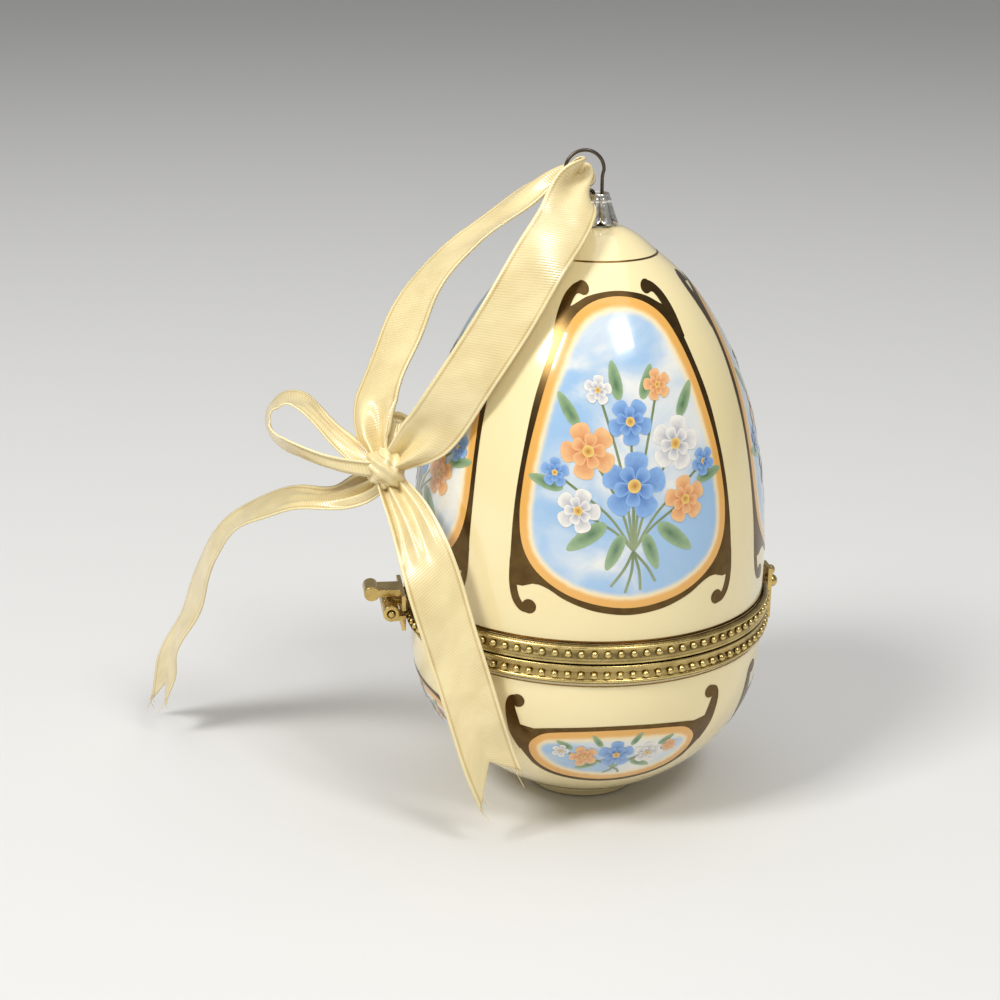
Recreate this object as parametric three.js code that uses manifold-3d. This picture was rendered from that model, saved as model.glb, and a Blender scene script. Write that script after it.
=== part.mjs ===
// Egg-shaped porcelain music box: two glazed halves with beaded brass rims, a hinge, a snap clasp,
// a ribbon on a crowned wire loop, and a wind-up comb movement under a cover plate.
// Millimetres, +Z up, origin at the centre of the foot; -Y is the front, -X the hinge, +X the clasp.
import * as THREE from "three";
import { mergeVertices } from "three/addons/utils/BufferGeometryUtils.js";
import Module from "manifold-3d";

const wasm = await Module();
wasm.setup();

// Fits shared by all pieces
const gap = 0.3;
const boreGap = 0.2;

// Porcelain egg
const wall = 2.8;
const footRadius = 10.8;
const footHeight = 1.5;
const seamHeight = 38;
const shellRadius = 33.9;
const shoulderRadius = 11;
const shoulderRise = 68.5;
const domeRise = 4.6;
const neckRadius = 3.2;
const neckBore = 2.2;
const edgeDrop = 2.2;
const footLip = 0.7;
const footPull = [0.2, 1];
const bellyPull = [3.2, 0.27];
const lidLowPull = [1.1, 0.35];
const lidHighPull = [-3.2, 0.8];
const domeLowPull = [0.8, 0.45];
const domeHighPull = [0.6, 0.85];
const roundSteps = 36;

// Brass rims
const rimThickness = 0.7;
const rimHeight = 3.55;
const seatThickness = 0.4;
const seatWidth = 3.6;
const beadHeight = 1.2;
const beadRise = 0.6;
const beadOffset = 1.45;

// Hinge
const hingeReach = 3.1;
const knuckleRadius = 1.6;
const knuckleLength = 3.8;
const hingePinRadius = 0.6;
const leafThickness = 0.8;
const leafDepth = 3;
const leafClear = 0.5;
const armThickness = 1;
const pinOverhang = 0.4;
const stopFingerReach = 3.4;
const stopFingerWidth = 5;
const stopBulbRadius = 1.5;

// Clasp
const claspWidth = 5;
const claspThickness = 0.8;
const claspDrop = 5;
const claspRise = 1.6;
const keeperRadius = 0.7;
const keeperOverhang = 0.2;
const claspBallRadius = 1.3;
const claspTopBallRadius = 1;

// Crown and wire loop
const capHeight = 5.5;
const capBottomRadius = 3.9;
const capTopRadius = 2.1;
const capFlutes = 10;
const capFluteDepth = 0.35;
const capCurve = 1.4;
const capBoreClear = 0.4;
const wireRadius = 0.4;
const loopRadius = 3.6;
const loopLean = 2.6;
const loopLift = 4.2;
const legSpread = 0.75;
const legInset = 1;
const loopStart = -22;
const loopSweep = 300;

// Ribbon
const ribbonWidth = 10;
const ribbonThickness = 0.5;
const ribbonNotch = 4.5;
const knotSize = [3.2, 3, 3.2];

// Cover plate and bedplate
const coverThickness = 1;
const bedThickness = 1.6;
const bedRadius = 27.2;
const spacerHeight = 1.1;
const spacerRadius = 2.4;
const screwCircle = 24;
const screwRadius = 0.9;
const screwHeadRadius = 2;
const screwHeadHeight = 0.9;
const screwOverhang = 0.6;
const slotWidth = 0.5;
const slotDepth = 0.4;
const screwAngles = [30, 150, 270];

// Winding: key, arbor, ratchet, barrel and spring
const barrelX = -11;
const barrelRadius = 9.5;
const barrelWall = 1.5;
const barrelRoof = 1;
const barrelHeight = 9.1;
const barrelTeeth = 36;
const barrelToothHeight = 1.2;
const arborRadius = 1.2;
const ratchetRadius = 4;
const ratchetTeeth = 12;
const ratchetThickness = 1;
const ratchetToothDepth = 0.8;
const ratchetToothLean = 0.9;
const pawlReach = 6;
const pawlEndRadius = 1.2;
const springThickness = 0.35;
const springPitch = 0.9;
const springHeight = 6;
const keyHubRadius = 2.2;
const keyHubHeight = 2.8;
const keyWidth = 17;
const keyHeight = 9;
const keyThickness = 1.5;
const keyLift = 1.4;
const keyNeck = 1.6;
const keyWaist = [3, 3];
const keyNotch = [2.4, 0.62];
const wingShares = [0.55, 1.1];

// Cylinder, comb and wheel train
const cylinderRadius = 4.4;
const cylinderEnd = 19;
const cylinderClear = 2.5;
const pinRise = 0.4;
const pinSize = 0.5;
const pinRoot = 0.4;
const pinTurns = [137, 163, 20];
const pinRows = 18;
const trainArborRadius = 0.7;
const pinionTeeth = 12;
const cylinderGearTeeth = 36;
const gearModule = 0.4;
const wormWheelTeeth = 16;
const wormModule = 0.5;
const wormStarts = 2;
const wormPitchRadius = 1.4;
const wormCoreRadius = 0.8;
const wormTipRadius = 1.8;
const wormHalf = 2.6;
const wormToothTop = 0.7;
const idlerBracketOffset = 5;
const governorDrop = 4;
const governorLip = 1.5;
const wheelThickness = 1.2;
const wormWheelX = 11;
const bracketThickness = 1;
const bracketDrop = 1.8;
const bracketHalf = 2.4;
const axialGap = 0.6;
const toothTop = 0.8;
const toothRoot = 1.2;
const pinionBacklash = 0.25;
const combThickness = 0.8;
const combRoot = 11;
const combDepth = 4.5;
const combTeeth = 18;
const combSlot = 0.3;
const combScrewInset = 3;
const combScrewRadius = 0.6;
const combScrewReach = 3;
const combScrewHeadRadius = 1.5;
const fanRadius = 3.2;
const fanHeight = 5;
const fanThickness = 0.4;
const fanShaftRadius = 0.5;
const fanHubWall = 0.6;
const fanDrop = 1.6;
const fanClear = 0.4;

// Stop pin
const stopAngle = -45;
const stopInset = 5.3;
const stopRadius = 0.8;
const stopFingerDrop = 3;
const stopFingerThickness = 0.8;
const stopTabWidth = 4;
const stopTabThickness = 0.3;

// Heights and places worked out from the sizes above
const seamGap = gap / 2;
const rimInner = shellRadius + gap;
const rimOuter = rimInner + rimThickness;
const beadRadius = rimOuter + beadRise;
const baseEdge = seamHeight - edgeDrop;
const lidEdge = seamHeight + edgeDrop;
const baseSeat = baseEdge + gap + seatThickness;
const coverBottom = baseSeat + gap;
const coverTop = coverBottom + coverThickness;
const bedTop = coverBottom - 2 * gap - spacerHeight;
const bedBottom = bedTop - bedThickness;
const hangTop = bedBottom - gap;
const barrelTop = hangTop;
const barrelFloor = barrelTop - barrelHeight;
const barrelPitchRadius = barrelRadius - barrelWall / 2;
const barrelPitch = (2 * Math.PI * barrelPitchRadius) / barrelTeeth;
const pinionRadius = (pinionTeeth * barrelPitch) / (2 * Math.PI);
const trainHeight = barrelFloor - barrelToothHeight / 2 - pinionRadius;
const cylinderStart = barrelX + barrelRadius + cylinderClear;
const cylinderLength = cylinderEnd - cylinderStart;
const gearStart = cylinderEnd + axialGap;
const gearRadius = (cylinderGearTeeth * gearModule) / 2;
const idlerPinionRadius = (pinionTeeth * gearModule) / 2;
const idlerY = -(gearRadius + idlerPinionRadius);
const wormWheelRadius = (wormWheelTeeth * wormModule) / 2;
const wormY = idlerY - wormWheelRadius - wormPitchRadius;
const rightBracketX = gearStart + wheelThickness + axialGap;
const leftBracketX = cylinderStart - axialGap - bracketThickness;
const bracketFoot = trainHeight - bracketDrop;
const shoulderHeight = seamHeight + shoulderRise;
const domeTop = shoulderHeight + domeRise;
const capBottom = domeTop + gap;
const capTop = capBottom + capHeight;
const loopCentre = [-loopLean, 0, capTop + loopLift];
const hingeX = -(beadRadius + hingeReach);
const plateFace = beadRadius + gap;
const keyBottom = coverTop + keyLift;
const stopCircle = shellRadius - stopInset;
const stopX = stopCircle * Math.cos(THREE.MathUtils.degToRad(stopAngle));
const stopY = stopCircle * Math.sin(THREE.MathUtils.degToRad(stopAngle));
const lidSeat = lidEdge - gap - seatThickness;
const stopTabTop = lidSeat - gap;
const stopTabBottom = stopTabTop - stopTabThickness;

const finishes = {
  porcelain: new THREE.MeshStandardMaterial({ color: 0xf6ebc2, roughness: 0.15 }),
  brass: new THREE.MeshStandardMaterial({ color: 0xa8904e, roughness: 0.35, metalness: 1 }),
  steel: new THREE.MeshStandardMaterial({ color: 0x9a9c9e, roughness: 0.35, metalness: 1 }),
  silver: new THREE.MeshStandardMaterial({ color: 0xc9c7bc, roughness: 0.25, metalness: 1 }),
  wire: new THREE.MeshStandardMaterial({ color: 0x5a5247, roughness: 0.4, metalness: 1 }),
  satin: new THREE.MeshStandardMaterial({ color: 0xebd592, roughness: 0.5 }),
  plastic: new THREE.MeshStandardMaterial({ color: 0xe9dfc4, roughness: 0.5 }),
};

// A closed geometry as a solid with its faces pointing out
function solid(geometry) {
  const bare = new THREE.BufferGeometry();
  const flat = geometry.index ? geometry.toNonIndexed() : geometry;
  bare.setAttribute("position", flat.getAttribute("position"));
  const merged = mergeVertices(bare, 1e-4);
  const corners = [];
  const index = merged.index.array;
  for (let i = 0; i < index.length; i += 3) {
    const [a, b, c] = index.slice(i, i + 3);
    if (a !== b && b !== c && c !== a) corners.push(a, b, c);
  }
  const vertProperties = merged.attributes.position.array;
  const made = manifold(vertProperties, corners);
  return made.volume() > 0 ? made : manifold(vertProperties, corners.reverse());
}

function manifold(vertProperties, corners) {
  const triVerts = new Uint32Array(corners);
  return new wasm.Manifold(new wasm.Mesh({ numProp: 3, vertProperties, triVerts }));
}

function join(...solids) {
  return solids.reduce((all, next) => all.add(next));
}

function cut(body, ...tools) {
  return tools.reduce((all, next) => all.subtract(next), body);
}

// A profile of [radius, height] points turned about the Z axis
function turned(profile, steps = roundSteps) {
  const points = profile.map(([r, z]) => new THREE.Vector2(r, z));
  return solid(new THREE.LatheGeometry(points, steps).rotateX(Math.PI / 2));
}

// A ring section that closes on itself, turned about the Z axis
function turnedRing(profile, steps = roundSteps) {
  return turned([...profile, profile[0]], steps);
}

function block(x0, x1, y0, y1, z0, z1) {
  const geometry = new THREE.BoxGeometry(x1 - x0, y1 - y0, z1 - z0);
  return solid(geometry.translate((x0 + x1) / 2, (y0 + y1) / 2, (z0 + z1) / 2));
}

function rodZ(x, y, z0, z1, radius, sides = 16) {
  const geometry = new THREE.CylinderGeometry(radius, radius, z1 - z0, sides);
  return solid(geometry.rotateX(Math.PI / 2).translate(x, y, (z0 + z1) / 2));
}

function rodX(x0, x1, y, z, radius, sides = 16) {
  const geometry = new THREE.CylinderGeometry(radius, radius, x1 - x0, sides);
  return solid(geometry.rotateZ(Math.PI / 2).translate((x0 + x1) / 2, y, z));
}

function rodY(x, y0, y1, z, radius, sides = 16) {
  const geometry = new THREE.CylinderGeometry(radius, radius, y1 - y0, sides);
  return solid(geometry.translate(x, (y0 + y1) / 2, z));
}

function ball(x, y, z, radius) {
  return solid(new THREE.SphereGeometry(radius, 14, 10).translate(x, y, z));
}

function plate(shape, thickness) {
  return new THREE.ExtrudeGeometry(shape, { depth: thickness, bevelEnabled: false, curveSegments: 10 });
}

// A flat outline standing on the X axis: its own x and y become Y and Z
function alongX(shape, x0, thickness, y, z) {
  const turn = new THREE.Matrix4().makeBasis(
    new THREE.Vector3(0, 1, 0),
    new THREE.Vector3(0, 0, 1),
    new THREE.Vector3(1, 0, 0),
  );
  return solid(plate(shape, thickness).applyMatrix4(turn).translate(x0, y, z));
}

// Rings of points joined into one skin: open ends are closed, a closed row meets its start
function loft(rings, closed = false) {
  const count = rings[0].length;
  const corners = [];
  const quad = (a, b, c, d) => corners.push(a, b, c, a, c, d);
  const last = closed ? rings.length : rings.length - 1;
  for (let i = 0; i < last; i++) {
    for (let j = 0; j < count; j++) {
      const here = i * count;
      const there = ((i + 1) % rings.length) * count;
      const next = (j + 1) % count;
      quad(here + j, here + next, there + next, there + j);
    }
  }
  if (!closed) {
    const end = (rings.length - 1) * count;
    for (let k = 0; k < count / 2 - 1; k++) {
      quad(count - 1 - k, count - 2 - k, k + 1, k);
      quad(end + k, end + k + 1, end + count - 2 - k, end + count - 1 - k);
    }
  }
  const geometry = new THREE.BufferGeometry();
  geometry.setAttribute("position", new THREE.Float32BufferAttribute(rings.flat(2), 3));
  geometry.setIndex(corners);
  return solid(geometry);
}

// Points of a cubic curve in the profile plane
function curvePoints(controls, steps) {
  const [a, b, c, d] = controls.map(([r, z]) => new THREE.Vector2(r, z));
  return new THREE.CubicBezierCurve(a, b, c, d).getPoints(steps);
}

// The same curve drawn in by the wall
function inset(points, depth) {
  return points.map((point, i) => {
    const before = points[Math.max(i - 1, 0)];
    const after = points[Math.min(i + 1, points.length - 1)];
    const along = after.clone().sub(before).normalize();
    return new THREE.Vector2(point.x - along.y * depth, point.y + along.x * depth);
  });
}

const pairs = (points) => points.map((point) => [point.x, point.y]);

function baseShell() {
  const outer = curvePoints(
    [
      [footRadius + footLip, footHeight],
      [footRadius + footPull[0], footHeight + footPull[1]],
      [shellRadius + bellyPull[0], seamHeight * bellyPull[1]],
      [shellRadius, baseEdge],
    ],
    9,
  );
  const inner = inset(outer, wall).slice(2);
  inner[inner.length - 1].set(shellRadius - wall, baseEdge);
  const floor = inner[0].y;
  return turned([
    [0, 0],
    [footRadius, 0],
    [footRadius, footHeight],
    ...pairs(outer),
    ...pairs(inner.reverse()),
    [0, floor],
  ]);
}

function lidShell() {
  const outer = curvePoints(
    [
      [shellRadius, lidEdge],
      [shellRadius + lidLowPull[0], seamHeight + shoulderRise * lidLowPull[1]],
      [shellRadius + lidHighPull[0], seamHeight + shoulderRise * lidHighPull[1]],
      [shoulderRadius, shoulderHeight],
    ],
    10,
  );
  const dome = curvePoints(
    [
      [shoulderRadius, shoulderHeight],
      [shoulderRadius * domeLowPull[0], shoulderHeight + domeRise * domeLowPull[1]],
      [shoulderRadius * domeHighPull[0], shoulderHeight + domeRise * domeHighPull[1]],
      [neckRadius, domeTop],
    ],
    3,
  ).slice(1);
  const inner = inset(outer, wall).slice(0, -1);
  inner[0].set(shellRadius - wall, lidEdge);
  const ceiling = inner[inner.length - 1].y;
  return turnedRing([
    ...pairs(outer),
    ...pairs(dome),
    [neckBore, domeTop],
    [neckBore, ceiling],
    ...pairs(inner.reverse()),
  ]);
}

// One rim: a band outside the shell, a row of beads, and a seat over the shell's edge
function rim(side) {
  const at = (offset) => seamHeight + side * offset;
  const beads = seamGap + beadOffset + beadHeight / 2;
  const seat = edgeDrop - gap;
  return turnedRing([
    [rimInner, at(seamGap)],
    [rimOuter, at(seamGap)],
    [rimOuter, at(beads - beadHeight * 0.6)],
    [beadRadius, at(beads - beadHeight * 0.3)],
    [beadRadius, at(beads + beadHeight * 0.3)],
    [rimOuter, at(beads + beadHeight * 0.6)],
    [rimOuter, at(seamGap + rimHeight)],
    [rimInner, at(seamGap + rimHeight)],
    [rimInner, at(seat)],
    [rimInner - seatWidth, at(seat)],
    [rimInner - seatWidth, at(seat - seatThickness)],
    [rimInner, at(seat - seatThickness)],
  ]);
}

// Hinge: two knuckles on the base, one on the lid, and a stop finger above them
function knuckle(y0, y1) {
  return rodY(hingeX, y0, y1, seamHeight, knuckleRadius);
}

function hingeBore() {
  return rodY(hingeX, -outerKnuckle - 1, outerKnuckle + 1, seamHeight, hingePinRadius + boreGap);
}

const innerKnuckle = knuckleLength / 2;
const outerKnuckle = innerKnuckle + gap + knuckleLength;

function hingePlate(z0, z1) {
  return block(-plateFace - leafThickness, -plateFace, -outerKnuckle, outerKnuckle, z0, z1);
}

function baseHingeLeaf() {
  const topEdge = seamHeight - leafClear;
  const arms = [-1, 1].map((side) => {
    const [y0, y1] = [innerKnuckle + gap, outerKnuckle].map((y) => y * side).sort((a, b) => a - b);
    const arm = block(hingeX, -plateFace, y0, y1, topEdge - armThickness, topEdge);
    return join(knuckle(y0, y1), arm);
  });
  const back = hingePlate(topEdge - leafDepth, topEdge);
  return cut(join(back, ...arms), hingeBore());
}

function lidHingeLeaf() {
  const low = seamHeight + leafClear;
  const back = hingePlate(low, low + leafDepth);
  const arm = block(hingeX, -plateFace, -innerKnuckle, innerKnuckle, low, low + armThickness);
  const fingerLow = seamHeight + knuckleRadius + 2 * gap;
  const fingerTop = low + leafDepth;
  const tip = hingeX - stopFingerReach;
  const half = stopFingerWidth / 2;
  const finger = block(tip, -plateFace, -half, half, fingerLow, fingerTop);
  const bulb = rodY(tip, -half, half, (fingerLow + fingerTop) / 2, stopBulbRadius);
  return cut(join(back, arm, finger, bulb, knuckle(-innerKnuckle, innerKnuckle)), hingeBore());
}

function hingePin() {
  return rodY(hingeX, -outerKnuckle - pinOverhang, outerKnuckle + pinOverhang, seamHeight, hingePinRadius);
}

// Clasp: a plate on the lid whose fork snaps down over a nub on the base
const keeperHeight = seamHeight - seamGap - beadOffset - beadHeight / 2;
const claspTop = seamHeight + rimHeight + claspRise;
const claspOut = plateFace + claspThickness;

function lidClasp() {
  const half = claspWidth / 2;
  const slot = keeperRadius + gap;
  const body = block(plateFace, claspOut, -half, half, seamHeight - claspDrop, claspTop);
  const forkLow = seamHeight - claspDrop - 1;
  const fork = block(plateFace - 1, claspOut + 1, -slot, slot, forkLow, keeperHeight + slot);
  const lowBallHeight = claspTop - 2 * claspTopBallRadius - claspBallRadius;
  const topBall = ball(plateFace + claspTopBallRadius, 0, claspTop - claspTopBallRadius, claspTopBallRadius);
  const lowBall = ball(plateFace + claspBallRadius, 0, lowBallHeight, claspBallRadius);
  return join(cut(body, fork), topBall, lowBall);
}

function claspKeeper() {
  return rodX(plateFace, claspOut + keeperOverhang, 0, keeperHeight, keeperRadius, 12);
}

// Crown: flutes run up a bell that narrows to the top, with a bore for the wire's legs
function hangerCap() {
  const sides = capFlutes * 4;
  const bore = legSpread + wireRadius + gap + capBoreClear;
  const ringAt = (radius, z, depth) =>
    Array.from({ length: sides }, (_, k) => {
      const turn = (2 * Math.PI * k) / sides;
      const r = radius + depth * Math.cos(capFlutes * turn);
      return [r * Math.cos(turn), r * Math.sin(turn), z];
    });
  const steps = 5;
  const rings = Array.from({ length: steps + 1 }, (_, i) => {
    const t = i / steps;
    const radius = capTopRadius + (capBottomRadius - capTopRadius) * (1 - t) ** capCurve;
    return ringAt(radius, capBottom + capHeight * t, capFluteDepth * (1 - 0.5 * t));
  });
  rings.push(ringAt(bore, capTop, 0), ringAt(bore, capBottom, 0));
  return loft(rings, true);
}

// Wire: two legs in the crown and a ring that leans with the ribbon's pull
function hangerLoop() {
  const [cx, , cz] = loopCentre;
  const legFoot = capBottom + legInset;
  const first = THREE.MathUtils.degToRad(loopStart);
  const sweep = THREE.MathUtils.degToRad(loopSweep);
  const path = [
    [legSpread, legFoot],
    [legSpread, capTop - 0.5],
  ];
  for (let k = 0; k <= 12; k++) {
    const turn = first + (sweep * k) / 12;
    path.push([cx + loopRadius * Math.cos(turn), cz + loopRadius * Math.sin(turn)]);
  }
  path.push([-legSpread, capTop - 0.2], [-legSpread, legFoot]);
  const curve = new THREE.CatmullRomCurve3(path.map(([x, z]) => new THREE.Vector3(x, 0, z)));
  const steps = 34;
  const sides = 6;
  const across = new THREE.Vector3(0, 1, 0);
  const rings = Array.from({ length: steps + 1 }, (_, i) => {
    const centre = curve.getPoint(i / steps);
    const normal = across.clone().cross(curve.getTangent(i / steps)).normalize();
    return Array.from({ length: sides }, (_, k) => {
      const turn = (2 * Math.PI * (k + 0.5)) / sides;
      const point = centre.clone();
      point.addScaledVector(normal, wireRadius * Math.cos(turn));
      point.addScaledVector(across, wireRadius * Math.sin(turn));
      return point.toArray();
    });
  });
  return loft(rings);
}

// Ribbon pieces: rows of a place, a width and a twist in degrees; the untwisted face looks to the front.
// A place is so many shell radii from the loop and from the middle, and so many loop heights up
const ribbonFacing = new THREE.Vector3(0.2, 0.93, -0.3);
const knotPlace = [-1.1091, -0.3392, 0.5681];

function onEgg([x, y, z]) {
  const [loopX, , loopZ] = loopCentre;
  return [loopX + x * shellRadius, y * shellRadius, z * loopZ];
}

const ribbonRoutes = {
  ribbon_loop: [
    [-1.0206, -0.3835, 0.5912, 6, 0],
    [-0.9381, -0.4366, 0.6160, 9, 0],
    [-0.8437, -0.4838, 0.6474, ribbonWidth, 0],
    [-0.6814, -0.5428, 0.7250, ribbonWidth, 0],
    [-0.5015, -0.5546, 0.8068, ribbonWidth, 0],
    [-0.3186, -0.4661, 0.8852, ribbonWidth, 0],
    [-0.1593, -0.3097, 0.9389, 9.6, 10],
    [-0.0649, -0.1534, 0.9802, 8, 30],
    [0.0000, -0.0059, 0.9992, 4.4, 50],
    [-0.0944, 0.1121, 0.9868, 6.6, 55],
    [-0.2891, 0.1593, 0.9529, 9.5, 60],
    [-0.6077, 0.1357, 0.8910, ribbonWidth, 58],
    [-0.8584, 0.0767, 0.8175, ribbonWidth, 48],
    [-1.0265, 0.0059, 0.7291, ribbonWidth, 38],
    [-1.1327, -0.0826, 0.6557, ribbonWidth, 30],
    [-1.1593, -0.1888, 0.6144, 7, 10],
    [-1.1504, -0.2360, 0.5945, 5, 0],
  ],
  ribbon_bow_left: [
    [-1.2212, -0.3245, 0.5830, 4.5, 80],
    [-1.3510, -0.2124, 0.6111, 8, 75],
    [-1.5192, -0.0590, 0.6491, ribbonWidth, 70],
    [-1.6578, 0.0295, 0.6507, ribbonWidth, 66],
    [-1.7050, 0.0265, 0.6160, ribbonWidth, 66],
    [-1.6342, -0.0767, 0.5846, ribbonWidth, 72],
    [-1.4277, -0.2419, 0.5747, 8, 80],
    [-1.2330, -0.3422, 0.5714, 4.5, 80],
  ],
  ribbon_bow_right: [
    [-1.0324, -0.2537, 0.5764, 4, 60],
    [-1.0029, -0.1829, 0.5995, 6, 60],
    [-1.0118, -0.1298, 0.6193, 6, 60],
    [-1.0501, -0.1239, 0.6210, 6, 60],
    [-1.0619, -0.1652, 0.6012, 6, 60],
    [-1.0708, -0.2183, 0.5830, 4, 60],
  ],
  ribbon_tail_left: [
    [-1.1976, -0.3068, 0.5384, 4.5, 30],
    [-1.3953, -0.1652, 0.5103, 8, 60],
    [-1.6372, 0.0324, 0.4864, ribbonWidth, 66],
    [-1.8584, 0.2301, 0.4476, ribbonWidth, 66],
    [-2.0236, 0.4071, 0.3807, ribbonWidth, 60],
    [-2.1445, 0.5811, 0.2824, ribbonWidth, 60],
    [-2.2832, 0.7316, 0.1817, ribbonWidth, 58],
    [-2.3835, 0.8555, 0.0826, ribbonWidth, 56],
    [-2.4307, 0.9263, 0.0215, ribbonWidth, 56],
  ],
  ribbon_tail_right: [
    [-1.0723, -0.3864, 0.5458, 5, 0],
    [-0.9941, -0.5428, 0.5087, 8, 0],
    [-0.9145, -0.7080, 0.4484, ribbonWidth, 0],
    [-0.8201, -0.8230, 0.3559, ribbonWidth, 0],
    [-0.7139, -0.8732, 0.2560, ribbonWidth, 0],
    [-0.6106, -0.8938, 0.1585, ribbonWidth, 0],
    [-0.5310, -0.8909, 0.0974, ribbonWidth, 0],
  ],
};

// A strip along a route; a notched one ends in a swallow-tail
function ribbon(route, notched) {
  const path = new THREE.CatmullRomCurve3(route.map((row) => new THREE.Vector3(...onEgg(row))));
  const form = new THREE.CatmullRomCurve3(route.map((row) => new THREE.Vector3(row[3], row[4], 0)));
  const steps = (route.length - 1) * 3;
  const tail = notched ? (ribbonNotch + 1) / path.getLength() : 0;
  const rings = [];
  for (let i = 0; i <= steps; i++) rings.push(ribbonRing(path, form, ((1 - tail) * i) / steps, 0));
  if (notched) rings.push(ribbonRing(path, form, 1, ribbonNotch));
  return loft(rings);
}

function ribbonRing(path, form, t, notch) {
  const centre = path.getPoint(t);
  const along = path.getTangent(t);
  const { x: width, y: twist } = form.getPoint(t);
  const side = along.clone().cross(ribbonFacing).normalize();
  side.applyAxisAngle(along, THREE.MathUtils.degToRad(twist));
  const face = side.clone().cross(along).multiplyScalar(ribbonThickness / 2);
  const row = [-0.5, 0, 0.5].map((share) => {
    const point = centre.clone().addScaledVector(side, share * width);
    return share === 0 ? point.addScaledVector(along, -notch) : point;
  });
  const front = row.map((point) => point.clone().add(face).toArray());
  const back = row.map((point) => point.clone().sub(face).toArray());
  return [...front, ...back.reverse()];
}

function ribbonKnot() {
  const geometry = new THREE.SphereGeometry(1, 14, 10).scale(...knotSize);
  return solid(geometry.translate(...onEgg(knotPlace)));
}

// Cover plate, bedplate and the screws that hang the movement
function polar(radius, degrees) {
  const turn = THREE.MathUtils.degToRad(degrees);
  return [radius * Math.cos(turn), radius * Math.sin(turn)];
}

const screwPlaces = screwAngles.map((angle) => polar(screwCircle, angle));
const screwHoles = (z0, z1) => screwPlaces.map(([x, y]) => rodZ(x, y, z0, z1, screwRadius + gap, 12));

function coverPlate() {
  const disc = rodZ(0, 0, coverBottom, coverTop, rimInner - gap, roundSteps);
  const arborHole = rodZ(barrelX, 0, coverBottom - 1, coverTop + 1, arborRadius + gap);
  const stopHole = rodZ(stopX, stopY, coverBottom - 1, coverTop + 1, stopRadius + gap);
  return cut(disc, arborHole, stopHole, ...screwHoles(coverBottom - 1, coverTop + 1));
}

const combHoleXs = [cylinderStart + combScrewInset, cylinderEnd - combScrewInset];
const combY = combRoot + combDepth / 2;
const combTop = trainHeight + combThickness / 2;
const combBottom = trainHeight - combThickness / 2;

function bedplate() {
  const disc = rodZ(0, 0, bedBottom, bedTop, bedRadius, 40);
  const combBack = combRoot + combDepth;
  const combBlock = block(cylinderStart, cylinderEnd, combRoot, combBack, combTop + gap, bedBottom + 1);
  const arborHole = rodZ(barrelX, 0, bedBottom - 1, bedTop + 1, arborRadius + gap);
  const stopHole = rodZ(stopX, stopY, bedBottom - 1, bedTop + 1, stopRadius + 3 * gap);
  const holeTop = combTop + combScrewReach + 1;
  const combHoles = combHoleXs.map((x) => rodZ(x, combY, combTop, holeTop, combScrewRadius + gap, 12));
  const holes = [arborHole, stopHole, ...combHoles, ...screwHoles(bedBottom - 1, bedTop + 1)];
  return cut(join(disc, combBlock), ...holes);
}

function spacer([x, y]) {
  const bottom = bedTop + gap;
  const post = rodZ(x, y, bottom, bottom + spacerHeight, spacerRadius);
  return cut(post, rodZ(x, y, bottom - 1, bottom + spacerHeight + 1, screwRadius + gap, 12));
}

function movementScrew([x, y]) {
  const seat = coverTop + gap;
  const head = rodZ(x, y, seat, seat + screwHeadHeight, screwHeadRadius);
  const top = seat + screwHeadHeight;
  const half = slotWidth / 2;
  const slot = block(x - spacerRadius, x + spacerRadius, y - half, y + half, top - slotDepth, top + 1);
  return cut(join(head, rodZ(x, y, bedBottom - screwOverhang, top - slotDepth, screwRadius, 12)), slot);
}

// Gear outline: teeth that taper from root to tip, one of them at the given angle
function gearShape(teeth, rootRadius, tipRadius, toothAngle, holeRadius) {
  const shape = new THREE.Shape();
  const pitch = (2 * Math.PI) / teeth;
  const corners = [
    [rootRadius, -0.24],
    [tipRadius, -0.12],
    [tipRadius, 0.12],
    [rootRadius, 0.24],
  ];
  for (let k = 0; k < teeth; k++) {
    for (const [radius, share] of corners) {
      const turn = toothAngle + (k + share) * pitch;
      const point = [radius * Math.cos(turn), radius * Math.sin(turn)];
      if (k === 0 && share === -0.24) shape.moveTo(...point);
      else shape.lineTo(...point);
    }
  }
  shape.closePath();
  shape.holes.push(new THREE.Path().absarc(0, 0, holeRadius, 0, 2 * Math.PI, true));
  return shape;
}

const pinionPhase = Math.PI / pinionTeeth;
const arborHoleRadius = trainArborRadius + boreGap;

// Winding: butterfly key, arbor, ratchet and click
function windingKey() {
  const hub = rodZ(barrelX, 0, keyBottom, keyBottom + keyHubHeight, keyHubRadius);
  const wings = new THREE.Shape();
  const low = keyBottom + keyHubHeight - 1;
  const half = keyWidth / 2;
  const [middle, top] = wingShares.map((share) => keyHeight * share);
  const notch = keyHeight * keyNotch[1];
  wings.moveTo(-keyNeck, 0);
  wings.bezierCurveTo(-keyWaist[0], keyWaist[1], -half, 0, -half, middle);
  wings.bezierCurveTo(-half, top, -keyNotch[0], top, 0, notch);
  wings.bezierCurveTo(keyNotch[0], top, half, top, half, middle);
  wings.bezierCurveTo(half, 0, keyWaist[0], keyWaist[1], keyNeck, 0);
  wings.closePath();
  const upright = plate(wings, keyThickness).rotateX(Math.PI / 2);
  return join(hub, solid(upright.translate(barrelX, keyThickness / 2, low)));
}

function windingArbor() {
  return rodZ(barrelX, 0, barrelFloor, keyBottom - gap, arborRadius);
}

const ratchetBottom = bedTop + gap;

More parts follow.
